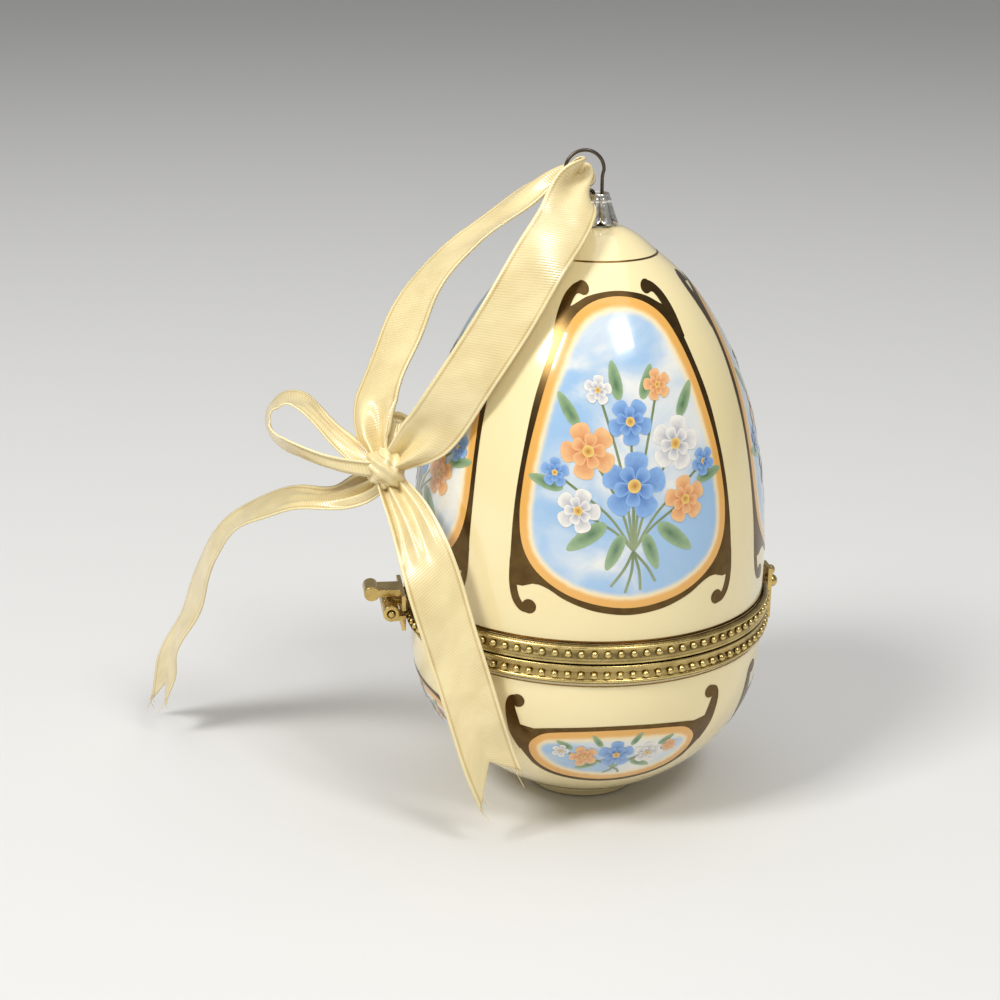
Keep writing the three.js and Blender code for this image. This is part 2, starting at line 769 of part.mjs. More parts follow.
function ratchetWheel() {
  const shape = new THREE.Shape();
  const pitch = (2 * Math.PI) / ratchetTeeth;
  for (let k = 0; k < ratchetTeeth; k++) {
    const way = [Math.cos(k * pitch), Math.sin(k * pitch)];
    const lean = (k + ratchetToothLean) * pitch;
    const root = way.map((share) => share * (ratchetRadius - ratchetToothDepth));
    if (k === 0) shape.moveTo(...root);
    else shape.lineTo(...root);
    shape.lineTo(ratchetRadius * Math.cos(lean), ratchetRadius * Math.sin(lean));
  }
  shape.closePath();
  shape.holes.push(new THREE.Path().absarc(0, 0, arborRadius + gap, 0, 2 * Math.PI, true));
  return solid(plate(shape, ratchetThickness).translate(barrelX, 0, ratchetBottom));
}

function clickPawl() {
  const shape = new THREE.Shape();
  const near = ratchetRadius + gap;
  shape.moveTo(0, near);
  shape.lineTo(1.2, near + 0.6);
  shape.lineTo(pawlReach, near + 1.4);
  shape.absarc(pawlReach, near + 1.4 + pawlEndRadius, pawlEndRadius, -Math.PI / 2, Math.PI / 2, false);
  shape.lineTo(0.6, near + 1.6);
  shape.closePath();
  return solid(plate(shape, ratchetThickness).translate(barrelX, 0, ratchetBottom));
}

// Barrel: a drum open below, with crown teeth on its lower edge
function springBarrel() {
  const drum = cut(
    rodZ(barrelX, 0, barrelFloor, barrelTop, barrelRadius, 36),
    rodZ(barrelX, 0, barrelFloor - 1, barrelTop - barrelRoof, barrelRadius - barrelWall, 36),
    rodZ(barrelX, 0, barrelTop - barrelRoof - 1, barrelTop + 1, arborRadius + gap),
  );
  const halfRoot = barrelPitch * 0.22;
  const halfTip = barrelPitch * 0.14;
  const outline = new THREE.Shape();
  outline.moveTo(-halfRoot, 0.2);
  outline.lineTo(-halfTip, -barrelToothHeight);
  outline.lineTo(halfTip, -barrelToothHeight);
  outline.lineTo(halfRoot, 0.2);
  outline.closePath();
  const start = barrelRadius - barrelWall + 0.1;
  const length = barrelWall - 0.2;
  const teeth = Array.from({ length: barrelTeeth }, (_, k) => {
    const tooth = alongX(outline, start, length, 0, 0).rotate([0, 0, (360 * k) / barrelTeeth]);
    return tooth.translate([barrelX, 0, barrelFloor]);
  });
  return join(drum, ...teeth);
}

// Mainspring: a flat spiral from the arbor to the drum's wall
function mainspring() {
  const inner = arborRadius + 2 * gap;
  const turns = Math.floor((barrelRadius - barrelWall - gap - springThickness - inner) / springPitch);
  const steps = turns * 14;
  const low = barrelFloor + 1;
  const rings = Array.from({ length: steps + 1 }, (_, i) => {
    const turn = (2 * Math.PI * turns * i) / steps;
    const radius = inner + (springPitch * turns * i) / steps;
    const corner = (r, z) => [barrelX + r * Math.cos(turn), r * Math.sin(turn), z];
    const outer = radius + springThickness;
    return [
      corner(radius, low),
      corner(outer, low),
      corner(outer, low + springHeight),
      corner(radius, low + springHeight),
    ];
  });
  return loft(rings);
}

// Cylinder with its pins, arbor, drive pinion and end gear
function musicCylinder() {
  const drum = rodX(cylinderStart, cylinderEnd, 0, trainHeight, cylinderRadius, 32);
  const rowPitch = cylinderLength / pinRows;
  const half = pinSize / 2;
  const pins = [];
  for (let row = 0; row < pinRows; row++) {
    for (let hit = 0; hit < 2; hit++) {
      const turn = (row * pinTurns[0] + hit * pinTurns[1] + pinTurns[2]) % 360;
      const x = cylinderStart + (row + 0.5) * rowPitch;
      const pin = block(-half, half, -half, half, cylinderRadius - pinRoot, cylinderRadius + pinRise);
      pins.push(pin.rotate([turn, 0, 0]).translate([x, 0, trainHeight]));
    }
  }
  return cut(join(drum, ...pins), rodX(cylinderStart - 1, cylinderEnd + 1, 0, trainHeight, arborHoleRadius));
}

const pinionX = barrelX + barrelRadius - barrelWall;

function cylinderArbor() {
  return rodX(pinionX, rightBracketX + bracketThickness, 0, trainHeight, trainArborRadius);
}

function cylinderPinion() {
  const tip = pinionRadius + barrelToothHeight / 2 - pinionBacklash;
  const root = pinionRadius - barrelToothHeight / 2 - pinionBacklash;
  const shape = gearShape(pinionTeeth, root, tip, pinionPhase, arborHoleRadius);
  return alongX(shape, pinionX + 0.2, barrelWall - 0.4, 0, trainHeight);
}

function cylinderGear() {
  const shape = gearShape(
    cylinderGearTeeth,
    gearRadius - toothRoot * gearModule,
    gearRadius + toothTop * gearModule,
    0,
    arborHoleRadius,
  );
  return alongX(shape, gearStart, wheelThickness, 0, trainHeight);
}

// Brackets that hang from the bedplate and carry the arbors
function bracket(x0, y0, y1, boreYs) {
  const panel = block(x0, x0 + bracketThickness, y0, y1, bracketFoot, hangTop);
  const bores = boreYs.map((y) => rodX(x0 - 1, x0 + bracketThickness + 1, y, trainHeight, arborHoleRadius));
  return cut(panel, ...bores);
}

const idlerBracketX = wormWheelX - idlerBracketOffset;
const idlerLow = idlerY - bracketHalf;

function idlerArbor() {
  return rodX(idlerBracketX, rightBracketX + bracketThickness, idlerY, trainHeight, trainArborRadius);
}

function idlerPinion() {
  const shape = gearShape(
    pinionTeeth,
    idlerPinionRadius - toothRoot * gearModule,
    idlerPinionRadius + toothTop * gearModule,
    pinionPhase,
    arborHoleRadius,
  );
  return alongX(shape, gearStart, wheelThickness, idlerY, trainHeight);
}

function wormWheel() {
  const shape = gearShape(
    wormWheelTeeth,
    wormWheelRadius - toothRoot * wormModule,
    wormWheelRadius + wormToothTop * wormModule,
    0,
    arborHoleRadius,
  );
  return alongX(shape, wormWheelX - wheelThickness / 2, wheelThickness, idlerY, trainHeight);
}

// Governor: a two-start worm whose shaft carries the air brake
const governorFoot = trainHeight - governorDrop;
const wormBottom = trainHeight - wormHalf;
const wormTop = trainHeight + wormHalf;
const fanTop = hangTop - fanDrop;
const fanBottom = fanTop - fanHeight;

function governorWorm() {
  const pitch = Math.PI * wormModule;
  const lead = pitch * wormStarts;
  const sides = 16;
  const steps = 20;
  const rings = Array.from({ length: steps + 1 }, (_, i) => {
    const z = wormBottom + ((wormTop - wormBottom) * i) / steps;
    return Array.from({ length: sides }, (_, k) => {
      const turn = (2 * Math.PI * k) / sides;
      const phase = (z - trainHeight - (lead * turn) / (2 * Math.PI)) / pitch;
      const swell = THREE.MathUtils.clamp((Math.cos(2 * Math.PI * phase) - 0.35) / 0.5, 0, 1);
      const radius = wormCoreRadius + (wormTipRadius - wormCoreRadius) * swell;
      return [radius * Math.cos(turn), radius * Math.sin(turn), z];
    });
  });
  const thread = loft(rings).translate([wormWheelX, wormY, 0]);
  return join(thread, rodZ(wormWheelX, wormY, governorFoot + gap, hangTop - gap, fanShaftRadius));
}

function governorFan() {
  const hubRadius = fanShaftRadius + boreGap + fanHubWall;
  const hub = rodZ(wormWheelX, wormY, fanBottom, fanTop, hubRadius);
  const blade = fanThickness / 2;
  const [x0, x1] = [wormWheelX - fanRadius, wormWheelX + fanRadius];
  const vane = block(x0, x1, wormY - blade, wormY + blade, fanBottom, fanTop);
  return cut(join(hub, vane), rodZ(wormWheelX, wormY, fanBottom - 1, fanTop + 1, fanShaftRadius + boreGap));
}

function governorBracket() {
  const back = wormY - fanRadius - bracketThickness - fanClear;
  const [x0, x1] = [wormWheelX - bracketHalf, wormWheelX + bracketHalf];
  const web = block(x0, x1, back, back + bracketThickness, governorFoot, hangTop);
  const foot = block(x0, x1, back, wormY + governorLip, governorFoot, governorFoot + bracketThickness);
  const head = block(x0, x1, back, wormY + governorLip, hangTop - bracketThickness, hangTop);
  const bore = rodZ(wormWheelX, wormY, governorFoot - 1, hangTop + 1, fanShaftRadius + boreGap);
  return cut(join(web, foot, head), bore);
}

// Comb: a steel plate cut into teeth that reach the pins
function comb() {
  const tip = cylinderRadius + pinRise + gap;
  const tooth = cylinderLength / combTeeth;
  const half = combSlot / 2;
  const slots = Array.from({ length: combTeeth - 1 }, (_, k) => {
    const x = cylinderStart + (k + 1) * tooth;
    return block(x - half, x + half, tip - 1, combRoot - combSlot, combBottom - 1, combTop + 1);
  });
  const sheet = block(cylinderStart, cylinderEnd, tip, combRoot + combDepth, combBottom, combTop);
  const holes = combHoleXs.map((x) => rodZ(x, combY, combBottom - 1, combTop + 1, combScrewRadius + gap, 12));
  return cut(sheet, ...slots, ...holes);
}

function combScrew(x) {
  const seat = combBottom - gap;
  const head = rodZ(x, combY, seat - 1, seat, combScrewHeadRadius, 14);
  return join(head, rodZ(x, combY, seat - 1, combTop + combScrewReach, combScrewRadius, 12));
}

// Stop pin: the closed lid holds it down, and its finger then stands at the edge of the fan's sweep
function stopPin() {
  const low = bedBottom - stopFingerDrop;
  const [dx, dy] = [wormWheelX - stopX, wormY - stopY];
  const reach = Math.hypot(dx, dy) - fanRadius - gap;
  const half = stopFingerThickness / 2;
  const finger = block(0, reach, -half, half, low, low + stopFingerThickness);
  const aim = THREE.MathUtils.radToDeg(Math.atan2(dy, dx));
  const pin = rodZ(stopX, stopY, low, stopTabBottom - gap, stopRadius, 14);
  return join(pin, finger.rotate([0, 0, aim]).translate([stopX, stopY, 0]));
}

function stopTab() {
  const half = stopTabWidth / 2;
  const strip = block(stopCircle - half, rimInner - 2 * gap, -half, half, stopTabBottom, stopTabTop);
  return strip.rotate([0, 0, stopAngle]);
}

// Scene graph
function mesh(name, body, finish) {
  const made = body.getMesh();
  const geometry = new THREE.BufferGeometry();
  geometry.setAttribute("position", new THREE.BufferAttribute(made.vertProperties, 3));
  geometry.setIndex(new THREE.BufferAttribute(made.triVerts, 1));
  const object = new THREE.Mesh(geometry, finishes[finish]);
  object.name = name;
  return object;
}

function assembly(...meshes) {
  const group = new THREE.Group();
  group.add(...meshes);
  return group;
}

const base = assembly(
  mesh("base_shell", baseShell(), "porcelain"),
  mesh("base_rim", rim(-1), "brass"),
  mesh("base_hinge_leaf", baseHingeLeaf(), "brass"),
  mesh("hinge_pin", hingePin(), "brass"),
  mesh("clasp_keeper", claspKeeper(), "brass"),
  mesh("cover_plate", coverPlate(), "plastic"),
);

const lid = assembly(
  mesh("lid_shell", lidShell(), "porcelain"),
  mesh("lid_rim", rim(1), "brass"),
  mesh("lid_hinge_leaf", lidHingeLeaf(), "brass"),
  mesh("lid_clasp", lidClasp(), "brass"),
  mesh("stop_tab", stopTab(), "brass"),
  mesh("hanger_cap", hangerCap(), "silver"),
  mesh("hanger_loop", hangerLoop(), "wire"),
);

const bow = assembly(mesh("ribbon_knot", ribbonKnot(), "satin"));
for (const [name, route] of Object.entries(ribbonRoutes)) {
  bow.add(mesh(name, ribbon(route, name.includes("tail")), "satin"));
}

const winding = assembly(
  mesh("winding_key", windingKey(), "brass"),
  mesh("winding_arbor", windingArbor(), "steel"),
  mesh("ratchet_wheel", ratchetWheel(), "steel"),
  mesh("click_pawl", clickPawl(), "steel"),
  mesh("spring_barrel", springBarrel(), "brass"),
  mesh("mainspring", mainspring(), "steel"),
);

const movement = assembly(
  mesh("bedplate", bedplate(), "steel"),
  mesh("music_cylinder", musicCylinder(), "brass"),
  mesh("cylinder_arbor", cylinderArbor(), "steel"),
  mesh("cylinder_pinion", cylinderPinion(), "brass"),
  mesh("cylinder_gear", cylinderGear(), "brass"),
  mesh("cylinder_bracket_left", bracket(leftBracketX, -bracketHalf, bracketHalf, [0]), "steel"),
  mesh("cylinder_bracket_right", bracket(rightBracketX, idlerLow, bracketHalf, [0, idlerY]), "steel"),
  mesh("comb", comb(), "steel"),
  mesh("idler_bracket", bracket(idlerBracketX, idlerLow, idlerLow + 2 * bracketHalf, [idlerY]), "steel"),
  mesh("idler_arbor", idlerArbor(), "steel"),
  mesh("idler_pinion", idlerPinion(), "brass"),
  mesh("worm_wheel", wormWheel(), "brass"),
  mesh("governor_worm", governorWorm(), "steel"),
  mesh("governor_fan", governorFan(), "plastic"),
  mesh("governor_bracket", governorBracket(), "steel"),
  mesh("stop_pin", stopPin(), "steel"),
);
screwPlaces.forEach((place, k) => {
  movement.add(mesh(`movement_spacer_${k + 1}`, spacer(place), "brass"));
  movement.add(mesh(`movement_screw_${k + 1}`, movementScrew(place), "steel"));
});
combHoleXs.forEach((x, k) => movement.add(mesh(`comb_screw_${k + 1}`, combScrew(x), "steel")));

const musicBox = new THREE.Group();
musicBox.add(base, lid, bow, winding, movement);

export default musicBox;
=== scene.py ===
"""Dresses the egg-shaped music box: glazed porcelain, beaded brass, a silver crown and a satin bow."""

import logging
import math
from dataclasses import dataclass, field
from enum import Enum
from typing import Any, Protocol

import bpy
from mathutils import Matrix, Vector


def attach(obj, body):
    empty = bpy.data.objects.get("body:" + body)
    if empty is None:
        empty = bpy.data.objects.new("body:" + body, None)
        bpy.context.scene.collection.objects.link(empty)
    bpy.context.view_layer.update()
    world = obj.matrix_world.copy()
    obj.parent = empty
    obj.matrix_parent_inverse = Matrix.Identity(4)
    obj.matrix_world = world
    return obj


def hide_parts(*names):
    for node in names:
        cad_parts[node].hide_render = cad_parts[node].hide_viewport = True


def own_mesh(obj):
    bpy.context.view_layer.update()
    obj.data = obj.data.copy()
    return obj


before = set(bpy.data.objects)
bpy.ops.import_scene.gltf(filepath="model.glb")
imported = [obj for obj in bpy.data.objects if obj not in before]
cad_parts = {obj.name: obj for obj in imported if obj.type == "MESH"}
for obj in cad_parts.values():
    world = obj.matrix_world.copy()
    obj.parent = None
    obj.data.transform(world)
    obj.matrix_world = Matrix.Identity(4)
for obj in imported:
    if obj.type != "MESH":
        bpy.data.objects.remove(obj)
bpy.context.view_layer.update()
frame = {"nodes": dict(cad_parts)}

LOG = logging.getLogger("egg_music_box")
MM = 0.001
# Places across a painted line, as shares of its width.
EDGES_AND_MIDDLE = (-0.5, 0.0, 0.5)
Colour = tuple[float, float, float, float]
Pair = tuple[float, float]
Row = tuple[float, ...]
Face = tuple[int, ...]


class Part(Enum):
    """The moving bodies that the pieces ride on."""

    BASE = "base"
    LID = "lid"
    RIBBON = "ribbon"


class Side(Enum):
    """Which half of the egg a ring belongs to, as the direction away from the seam."""

    UPPER = 1
    LOWER = -1


class Held(Enum):
    """What keeps a length of ribbon in its shape."""

    HUNG = "hung"
    FOLDED = "folded"


def linear(colour: str) -> Colour:
    """Turns an sRGB hex colour into linear light.

    Args:
        colour: Six hex digits after a hash sign.

    Returns:
        Linear red, green and blue, and an alpha of 1.
    """
    shares = [int(colour[i : i + 2], 16) / 255 for i in (1, 3, 5)]
    low, high = [s / 12.92 for s in shares], [((s + 0.055) / 1.055) ** 2.4 for s in shares]
    red, green, blue = [a if s <= 0.04045 else b for s, a, b in zip(shares, low, high)]
    return red, green, blue, 1.0


def feed(tree: bpy.types.NodeTree, node: bpy.types.Node, inputs: dict[int | str, Any]) -> None:
    """Sets a node's sockets, or links them.

    Args:
        tree: The material's node tree.
        node: The node.
        inputs: Socket names or numbers, each with a value or the output that feeds it.
    """
    for name, value in inputs.items():
        if isinstance(value, bpy.types.NodeSocket):
            tree.links.new(value, node.inputs[name])
        else:
            node.inputs[name].default_value = value


def add_node(
    tree: bpy.types.NodeTree, kind: str, inputs: dict[int | str, Any] | None = None, **settings: Any
) -> bpy.types.Node:
    """Adds one shader node with its settings, values and links.

    Args:
        tree: The material's node tree.
        kind: Blender's name of the node type.
        inputs: Socket names or numbers, each with a value or the output that feeds it.
        settings: Attributes of the node itself.

    Returns:
        The new node.
    """
    node = tree.nodes.new(kind)
    for name, value in settings.items():
        setattr(node, name, value)
    feed(tree, node, inputs or {})
    return node


def blank(name: str) -> tuple[bpy.types.Material, bpy.types.NodeTree, bpy.types.Node]:
    """Makes a material that holds one surface shader.

    Args:
        name: What the finish is called.

    Returns:
        The material, its node tree and the surface shader.
    """
    material = bpy.data.materials.new(name)
    material.use_nodes = True
    tree = material.node_tree
    tree.nodes.clear()
    shader = add_node(tree, "ShaderNodeBsdfPrincipled")
    add_node(tree, "ShaderNodeOutputMaterial", {"Surface": shader.outputs[0]})
    return material, tree, shader


def per_metre(size_mm: float) -> float:
    """The texture scale whose features are this many millimetres wide."""
    return 1 / (size_mm * MM)


class Finish(Protocol):
    """What every finish offers the workshop."""

    @property
    def name(self) -> str:
        """The material's name."""

    def build(self) -> bpy.types.Material:
        """Returns the material."""


# A fired glaze mirrors sharply in a thin clear coat, over a body that is a little softer.
GLAZE: dict[str, float] = {"Roughness": 0.16, "IOR": 1.52, "Coat Weight": 0.6, "Coat Roughness": 0.04}


@dataclass(frozen=True)
class Porcelain:
    """Slip-cast porcelain under a clear ivory glaze: a deep gloss over a soft, slightly uneven cream."""

    name: str = "glazed_porcelain"
    pale: str = "#F6E7B6"
    warm: str = "#F0DCA2"
    drift_mm: float = 26.0
    ripple_mm: float = 7.0
    ripple: float = 0.04
    ripple_depth_mm: float = 0.2

    def build(self) -> bpy.types.Material:
        """Builds the glaze.

        Returns:
            The material.
        """
        material, tree, shader = blank(self.name)
        place = add_node(tree, "ShaderNodeTexCoord").outputs["Object"]
        cloudy = {"Vector": place, "Scale": per_metre(self.drift_mm), "Detail": 3.0}
        drift = add_node(tree, "ShaderNodeTexNoise", cloudy).outputs[0]
        cream = {0: drift, 6: linear(self.pale), 7: linear(self.warm)}
        colour = add_node(tree, "ShaderNodeMix", cream, data_type="RGBA").outputs[2]
        rippled = {"Vector": place, "Scale": per_metre(self.ripple_mm)}
        ripple = add_node(tree, "ShaderNodeTexNoise", rippled).outputs[0]
        relief = {"Height": ripple, "Strength": self.ripple, "Distance": self.ripple_depth_mm * MM}
        bump = add_node(tree, "ShaderNodeBump", relief).outputs[0]
        feed(tree, shader, {"Base Color": colour, "Normal": bump, **GLAZE})
        return material


@dataclass(frozen=True)
class SkyPanel:
    """Decal print under the glaze: a pale sky with cream cloud, ringed by a soft amber border."""

    name: str = "sky_panel"
    sky: str = "#9DBFDE"
    cloud: str = "#EDEADF"
    amber: str = "#E8AD55"
    cream: str = "#F7E2B2"
    cloud_mm: float = 17.0
    cloud_swirl: float = 0.6
    cloud_share: Pair = (0.38, 0.64)
    grain_mm: float = 1.6
    speckle_mm: float = 0.4
    cream_from_mm: Pair = (1.4, 2.4)
    sky_from_mm: Pair = (2.0, 3.3)

    def build(self) -> bpy.types.Material:
        """Builds the panel; its edge attribute holds the distance to the frame in millimetres.

        Returns:
            The material.
        """
        material, tree, shader = blank(self.name)
        place = add_node(tree, "ShaderNodeTexCoord").outputs["Object"]
        cloudy = {"Scale": per_metre(self.cloud_mm), "Detail": 5.0, "Distortion": self.cloud_swirl}
        drift = add_node(tree, "ShaderNodeTexNoise", {"Vector": place, **cloudy}).outputs[0]
        grainy = {"Vector": place, "Scale": per_metre(self.grain_mm)}
        grain = add_node(tree, "ShaderNodeTexNoise", grainy).outputs[0]
        edge = add_node(tree, "ShaderNodeAttribute", attribute_name="edge").outputs["Fac"]
        uneven = {0: grain, 1: self.speckle_mm, 2: edge}
        inwards = add_node(tree, "ShaderNodeMath", uneven, operation="MULTIPLY_ADD").outputs[0]
        sky = self._over(tree, drift, self.cloud_share, linear(self.sky), linear(self.cloud))
        border = self._over(tree, inwards, self.cream_from_mm, linear(self.amber), linear(self.cream))
        colour = self._over(tree, inwards, self.sky_from_mm, border, sky)
        feed(tree, shader, {"Base Color": colour, **GLAZE})
        return material

    def _over(
        self,
        tree: bpy.types.NodeTree,
        signal: bpy.types.NodeSocket,
        span: Pair,
        under: Colour | bpy.types.NodeSocket,
        over: Colour | bpy.types.NodeSocket,
    ) -> bpy.types.NodeSocket:
        """Prints one tone over another.

        Args:
            tree: The material's node tree.
            signal: What decides where the upper tone lies.
            span: Where the signal starts and ends the change.
            under: The lower tone.
            over: The upper tone.

        Returns:
            The printed colour.
        """
        rise = {0: signal, 1: span[0], 2: span[1]}
        share = add_node(tree, "ShaderNodeMapRange", rise, interpolation_type="SMOOTHSTEP").outputs[0]
        return add_node(tree, "ShaderNodeMix", {0: share, 6: under, 7: over}, data_type="RGBA").outputs[2]


@dataclass(frozen=True)
class PetalPrint:
    """Decal print under the glaze: one watercolour wash that pales from root to tip."""

    name: str
    root: str
    tip: str
    mottle_mm: float = 1.1
    mottle: float = 0.5

    def build(self) -> bpy.types.Material:
        """Builds the wash; its tint attribute runs from 0 at the root to 1 at the tip.

        Returns:
            The material.
        """
        material, tree, shader = blank(self.name)
        place = add_node(tree, "ShaderNodeTexCoord").outputs["Object"]
        spotted = {"Vector": place, "Scale": per_metre(self.mottle_mm)}
        spots = add_node(tree, "ShaderNodeTexNoise", spotted).outputs[0]
        tint = add_node(tree, "ShaderNodeAttribute", attribute_name="tint").outputs["Fac"]
        even = {0: spots, 1: self.mottle, 2: -self.mottle / 2}
        blotch = add_node(tree, "ShaderNodeMath", even, operation="MULTIPLY_ADD").outputs[0]
        share = add_node(tree, "ShaderNodeMath", {0: tint, 1: blotch}, operation="ADD", use_clamp=True)
        wash = {0: share.outputs[0], 6: linear(self.root), 7: linear(self.tip)}
        colour = add_node(tree, "ShaderNodeMix", wash, data_type="RGBA").outputs[2]
        feed(tree, shader, {"Base Color": colour, **GLAZE})
        return material


@dataclass(frozen=True)
class Metal:
    """A worked metal with random tarnish; on some pieces painted shade darkens the grooves and hollows, so
    the raised parts stay bright.

    Real polishing marks are about 0.05 mm apart; they are drawn ten times coarser to show.
    """

    name: str
    bright: str
    dark: str
    roughness: float = 0.3
    wear: Pair = (-0.08, 0.12)
    mark_mm: float = 0.5
    mark_share: Pair = (0.3, 0.7)
    mark: float = 0.07
    mark_depth_mm: float = 0.04
    patina_mm: float = 3.0
    patina: Pair = (0.4, 0.75)
    tarnish: float = 0.6
    in_groove: float = 0.5
    recess_shade: bool = False

    def build(self) -> bpy.types.Material:
        """Builds the metal; on pieces that carry it, an attribute paints shade into the grooves and hollows.

        Returns:
            The material.
        """
        material, tree, shader = blank(self.name)
        place = add_node(tree, "ShaderNodeTexCoord").outputs["Object"]
        stained = {"Vector": place, "Scale": per_metre(self.patina_mm), "Detail": 4.0}
        stain = add_node(tree, "ShaderNodeTexNoise", stained).outputs[0]
        spread = {0: stain, 1: self.patina[0], 2: self.patina[1], 4: self.tarnish}
        shade = add_node(tree, "ShaderNodeMapRange", spread).outputs[0]
        # Painted shade: the attribute pulls grooves, hollows and inner faces towards the dark tone.
        if self.recess_shade:
            groove = add_node(tree, "ShaderNodeAttribute", attribute_name="recess_shade").outputs["Fac"]
            deep = {0: shade, 1: self.in_groove, 2: groove}
            deeper = add_node(tree, "ShaderNodeMath", deep, operation="MULTIPLY_ADD", use_clamp=True)
            shade = deeper.outputs[0]
        tones = {0: shade, 6: linear(self.bright), 7: linear(self.dark)}
        colour = add_node(tree, "ShaderNodeMix", tones, data_type="RGBA").outputs[2]
        marked = {"Vector": place, "Scale": per_metre(self.mark_mm), "Detail": 2.0}
        marks = add_node(tree, "ShaderNodeTexNoise", marked).outputs[0]
        worn = {0: marks, 1: self.mark_share[0], 2: self.mark_share[1]}
        worn |= {3: self.roughness + self.wear[0], 4: self.roughness + self.wear[1]}
        wear = add_node(tree, "ShaderNodeMapRange", worn).outputs[0]
        relief = {"Height": marks, "Strength": self.mark, "Distance": self.mark_depth_mm * MM}
        bump = add_node(tree, "ShaderNodeBump", relief).outputs[0]
        feed(tree, shader, {"Base Color": colour, "Metallic": 1.0, "Roughness": wear, "Normal": bump})
        return material


@dataclass(frozen=True)
class GoldLustre:
    """Fired liquid gold on the glaze: a dark bronze film with a warm metallic gleam and a brushed edge."""

    name: str = "gold_lustre"
    dark: str = "#4A3823"
    gleam: str = "#7C6238"
    streak_mm: float = 2.2
    roughness: float = 0.24

    def build(self) -> bpy.types.Material:
        """Builds the lustre.

        Returns:
            The material.
        """
        material, tree, shader = blank(self.name)
        place = add_node(tree, "ShaderNodeTexCoord").outputs["Object"]
        brushed = {"Vector": place, "Scale": per_metre(self.streak_mm), "Detail": 3.0}
        streak = add_node(tree, "ShaderNodeTexNoise", brushed).outputs[0]
        film = {0: streak, 6: linear(self.dark), 7: linear(self.gleam)}
        colour = add_node(tree, "ShaderNodeMix", film, data_type="RGBA").outputs[2]
        feed(tree, shader, {"Base Color": colour, "Metallic": 1.0, "Roughness": self.roughness})
        return material


@dataclass(frozen=True)
class Satin:
    """Woven polyester satin ribbon: long floats that catch the light, slanting ribs and corded edges, each
    edge with a painted shade line inside a painted highlight on the cord.

    Real ribs are about 0.2 mm apart, too fine to show, so they are drawn 0.52 mm apart.
    """

    name: str = "satin_ribbon"
    bright: str = "#EFDDA6"
    deep: str = "#A47C2C"
    rib_mm: float = 0.52
    rib_wander: float = 0.9
    rib_shade: float = -0.2
    rib: float = 0.32
    rib_depth_mm: float = 0.07
    slant: float = 0.45
    slub_mm: float = 8.0
    slub: Pair = (0.2, 0.75)
    slub_shade: float = 0.4
    # The ditch is a painted shade line beside each corded edge, and the cord a painted highlight.
    selvedge_mm: float = 4.45
    ditch_mm: Pair = (-0.5, -0.15)
    ditch_painted_shade: float = 0.4
    cord_mm: Pair = (-0.1, 0.2)
    cord_painted_highlight: float = -0.7
    roughness: float = 0.27
    specular: float = 1.0
    sheen: Pair = (0.2, 0.3)

    def build(self) -> bpy.types.Material:
        """Builds the weave; its along and across attributes hold millimetres on the flat ribbon.

        Returns:
            The material.
        """
        material, tree, shader = blank(self.name)
        along = add_node(tree, "ShaderNodeAttribute", attribute_name="along").outputs["Fac"]
        across = add_node(tree, "ShaderNodeAttribute", attribute_name="across").outputs["Fac"]
        sloped = {0: across, 1: self.slant, 2: along}
        slope = add_node(tree, "ShaderNodeMath", sloped, operation="MULTIPLY_ADD").outputs[0]
        weave = add_node(tree, "ShaderNodeCombineXYZ", {0: slope, 1: across}).outputs[0]
        # A wave texture at scale 1 repeats every 2 pi / 20.
        ribbed = {"Scale": 2 * math.pi / 20 / self.rib_mm, "Distortion": self.rib_wander, "Detail": 2.0}
        rib = add_node(tree, "ShaderNodeTexWave", {"Vector": weave, **ribbed}, bands_direction="X").outputs[1]
        uneven = {"Vector": weave, "Scale": 1 / self.slub_mm, "Detail": 2.0}
        slub = add_node(tree, "ShaderNodeTexNoise", uneven).outputs[0]
        both = {0: rib, 1: self.rib_shade, 2: slub}
        tone = add_node(tree, "ShaderNodeMath", both, operation="MULTIPLY_ADD").outputs[0]
        spread = {0: tone, 1: self.slub[0], 2: self.slub[1], 4: self.slub_shade}
        depth = add_node(tree, "ShaderNodeMapRange", spread).outputs[0]
        off = add_node(tree, "ShaderNodeMath", {0: across}, operation="ABSOLUTE").outputs[0]
        # Painted shade in the ditch beside each selvedge and a painted highlight on its cord.
        edge = []
        for (start, stop), shade in ((self.ditch_mm, self.ditch_painted_shade), (self.cord_mm, self.cord_painted_highlight)):
            span = {0: off, 1: self.selvedge_mm + start, 2: self.selvedge_mm + stop, 4: shade}
            edge.append(add_node(tree, "ShaderNodeMapRange", span).outputs[0])
        selvedge_painted_light = add_node(tree, "ShaderNodeMath", {0: edge[0], 1: edge[1]}, operation="ADD").outputs[0]
        share = add_node(tree, "ShaderNodeMath", {0: depth, 1: selvedge_painted_light}, operation="ADD", use_clamp=True)
        tones = {0: share.outputs[0], 6: linear(self.bright), 7: linear(self.deep)}
        colour = add_node(tree, "ShaderNodeMix", tones, data_type="RGBA").outputs[2]
        relief = {"Height": rib, "Strength": self.rib, "Distance": self.rib_depth_mm * MM}
        bump = add_node(tree, "ShaderNodeBump", relief).outputs[0]
        cloth = {"Roughness": self.roughness, "Specular IOR Level": self.specular}
        cloth |= {"Sheen Weight": self.sheen[0], "Sheen Roughness": self.sheen[1]}
        feed(tree, shader, {"Base Color": colour, "Normal": bump, **cloth})
        return material


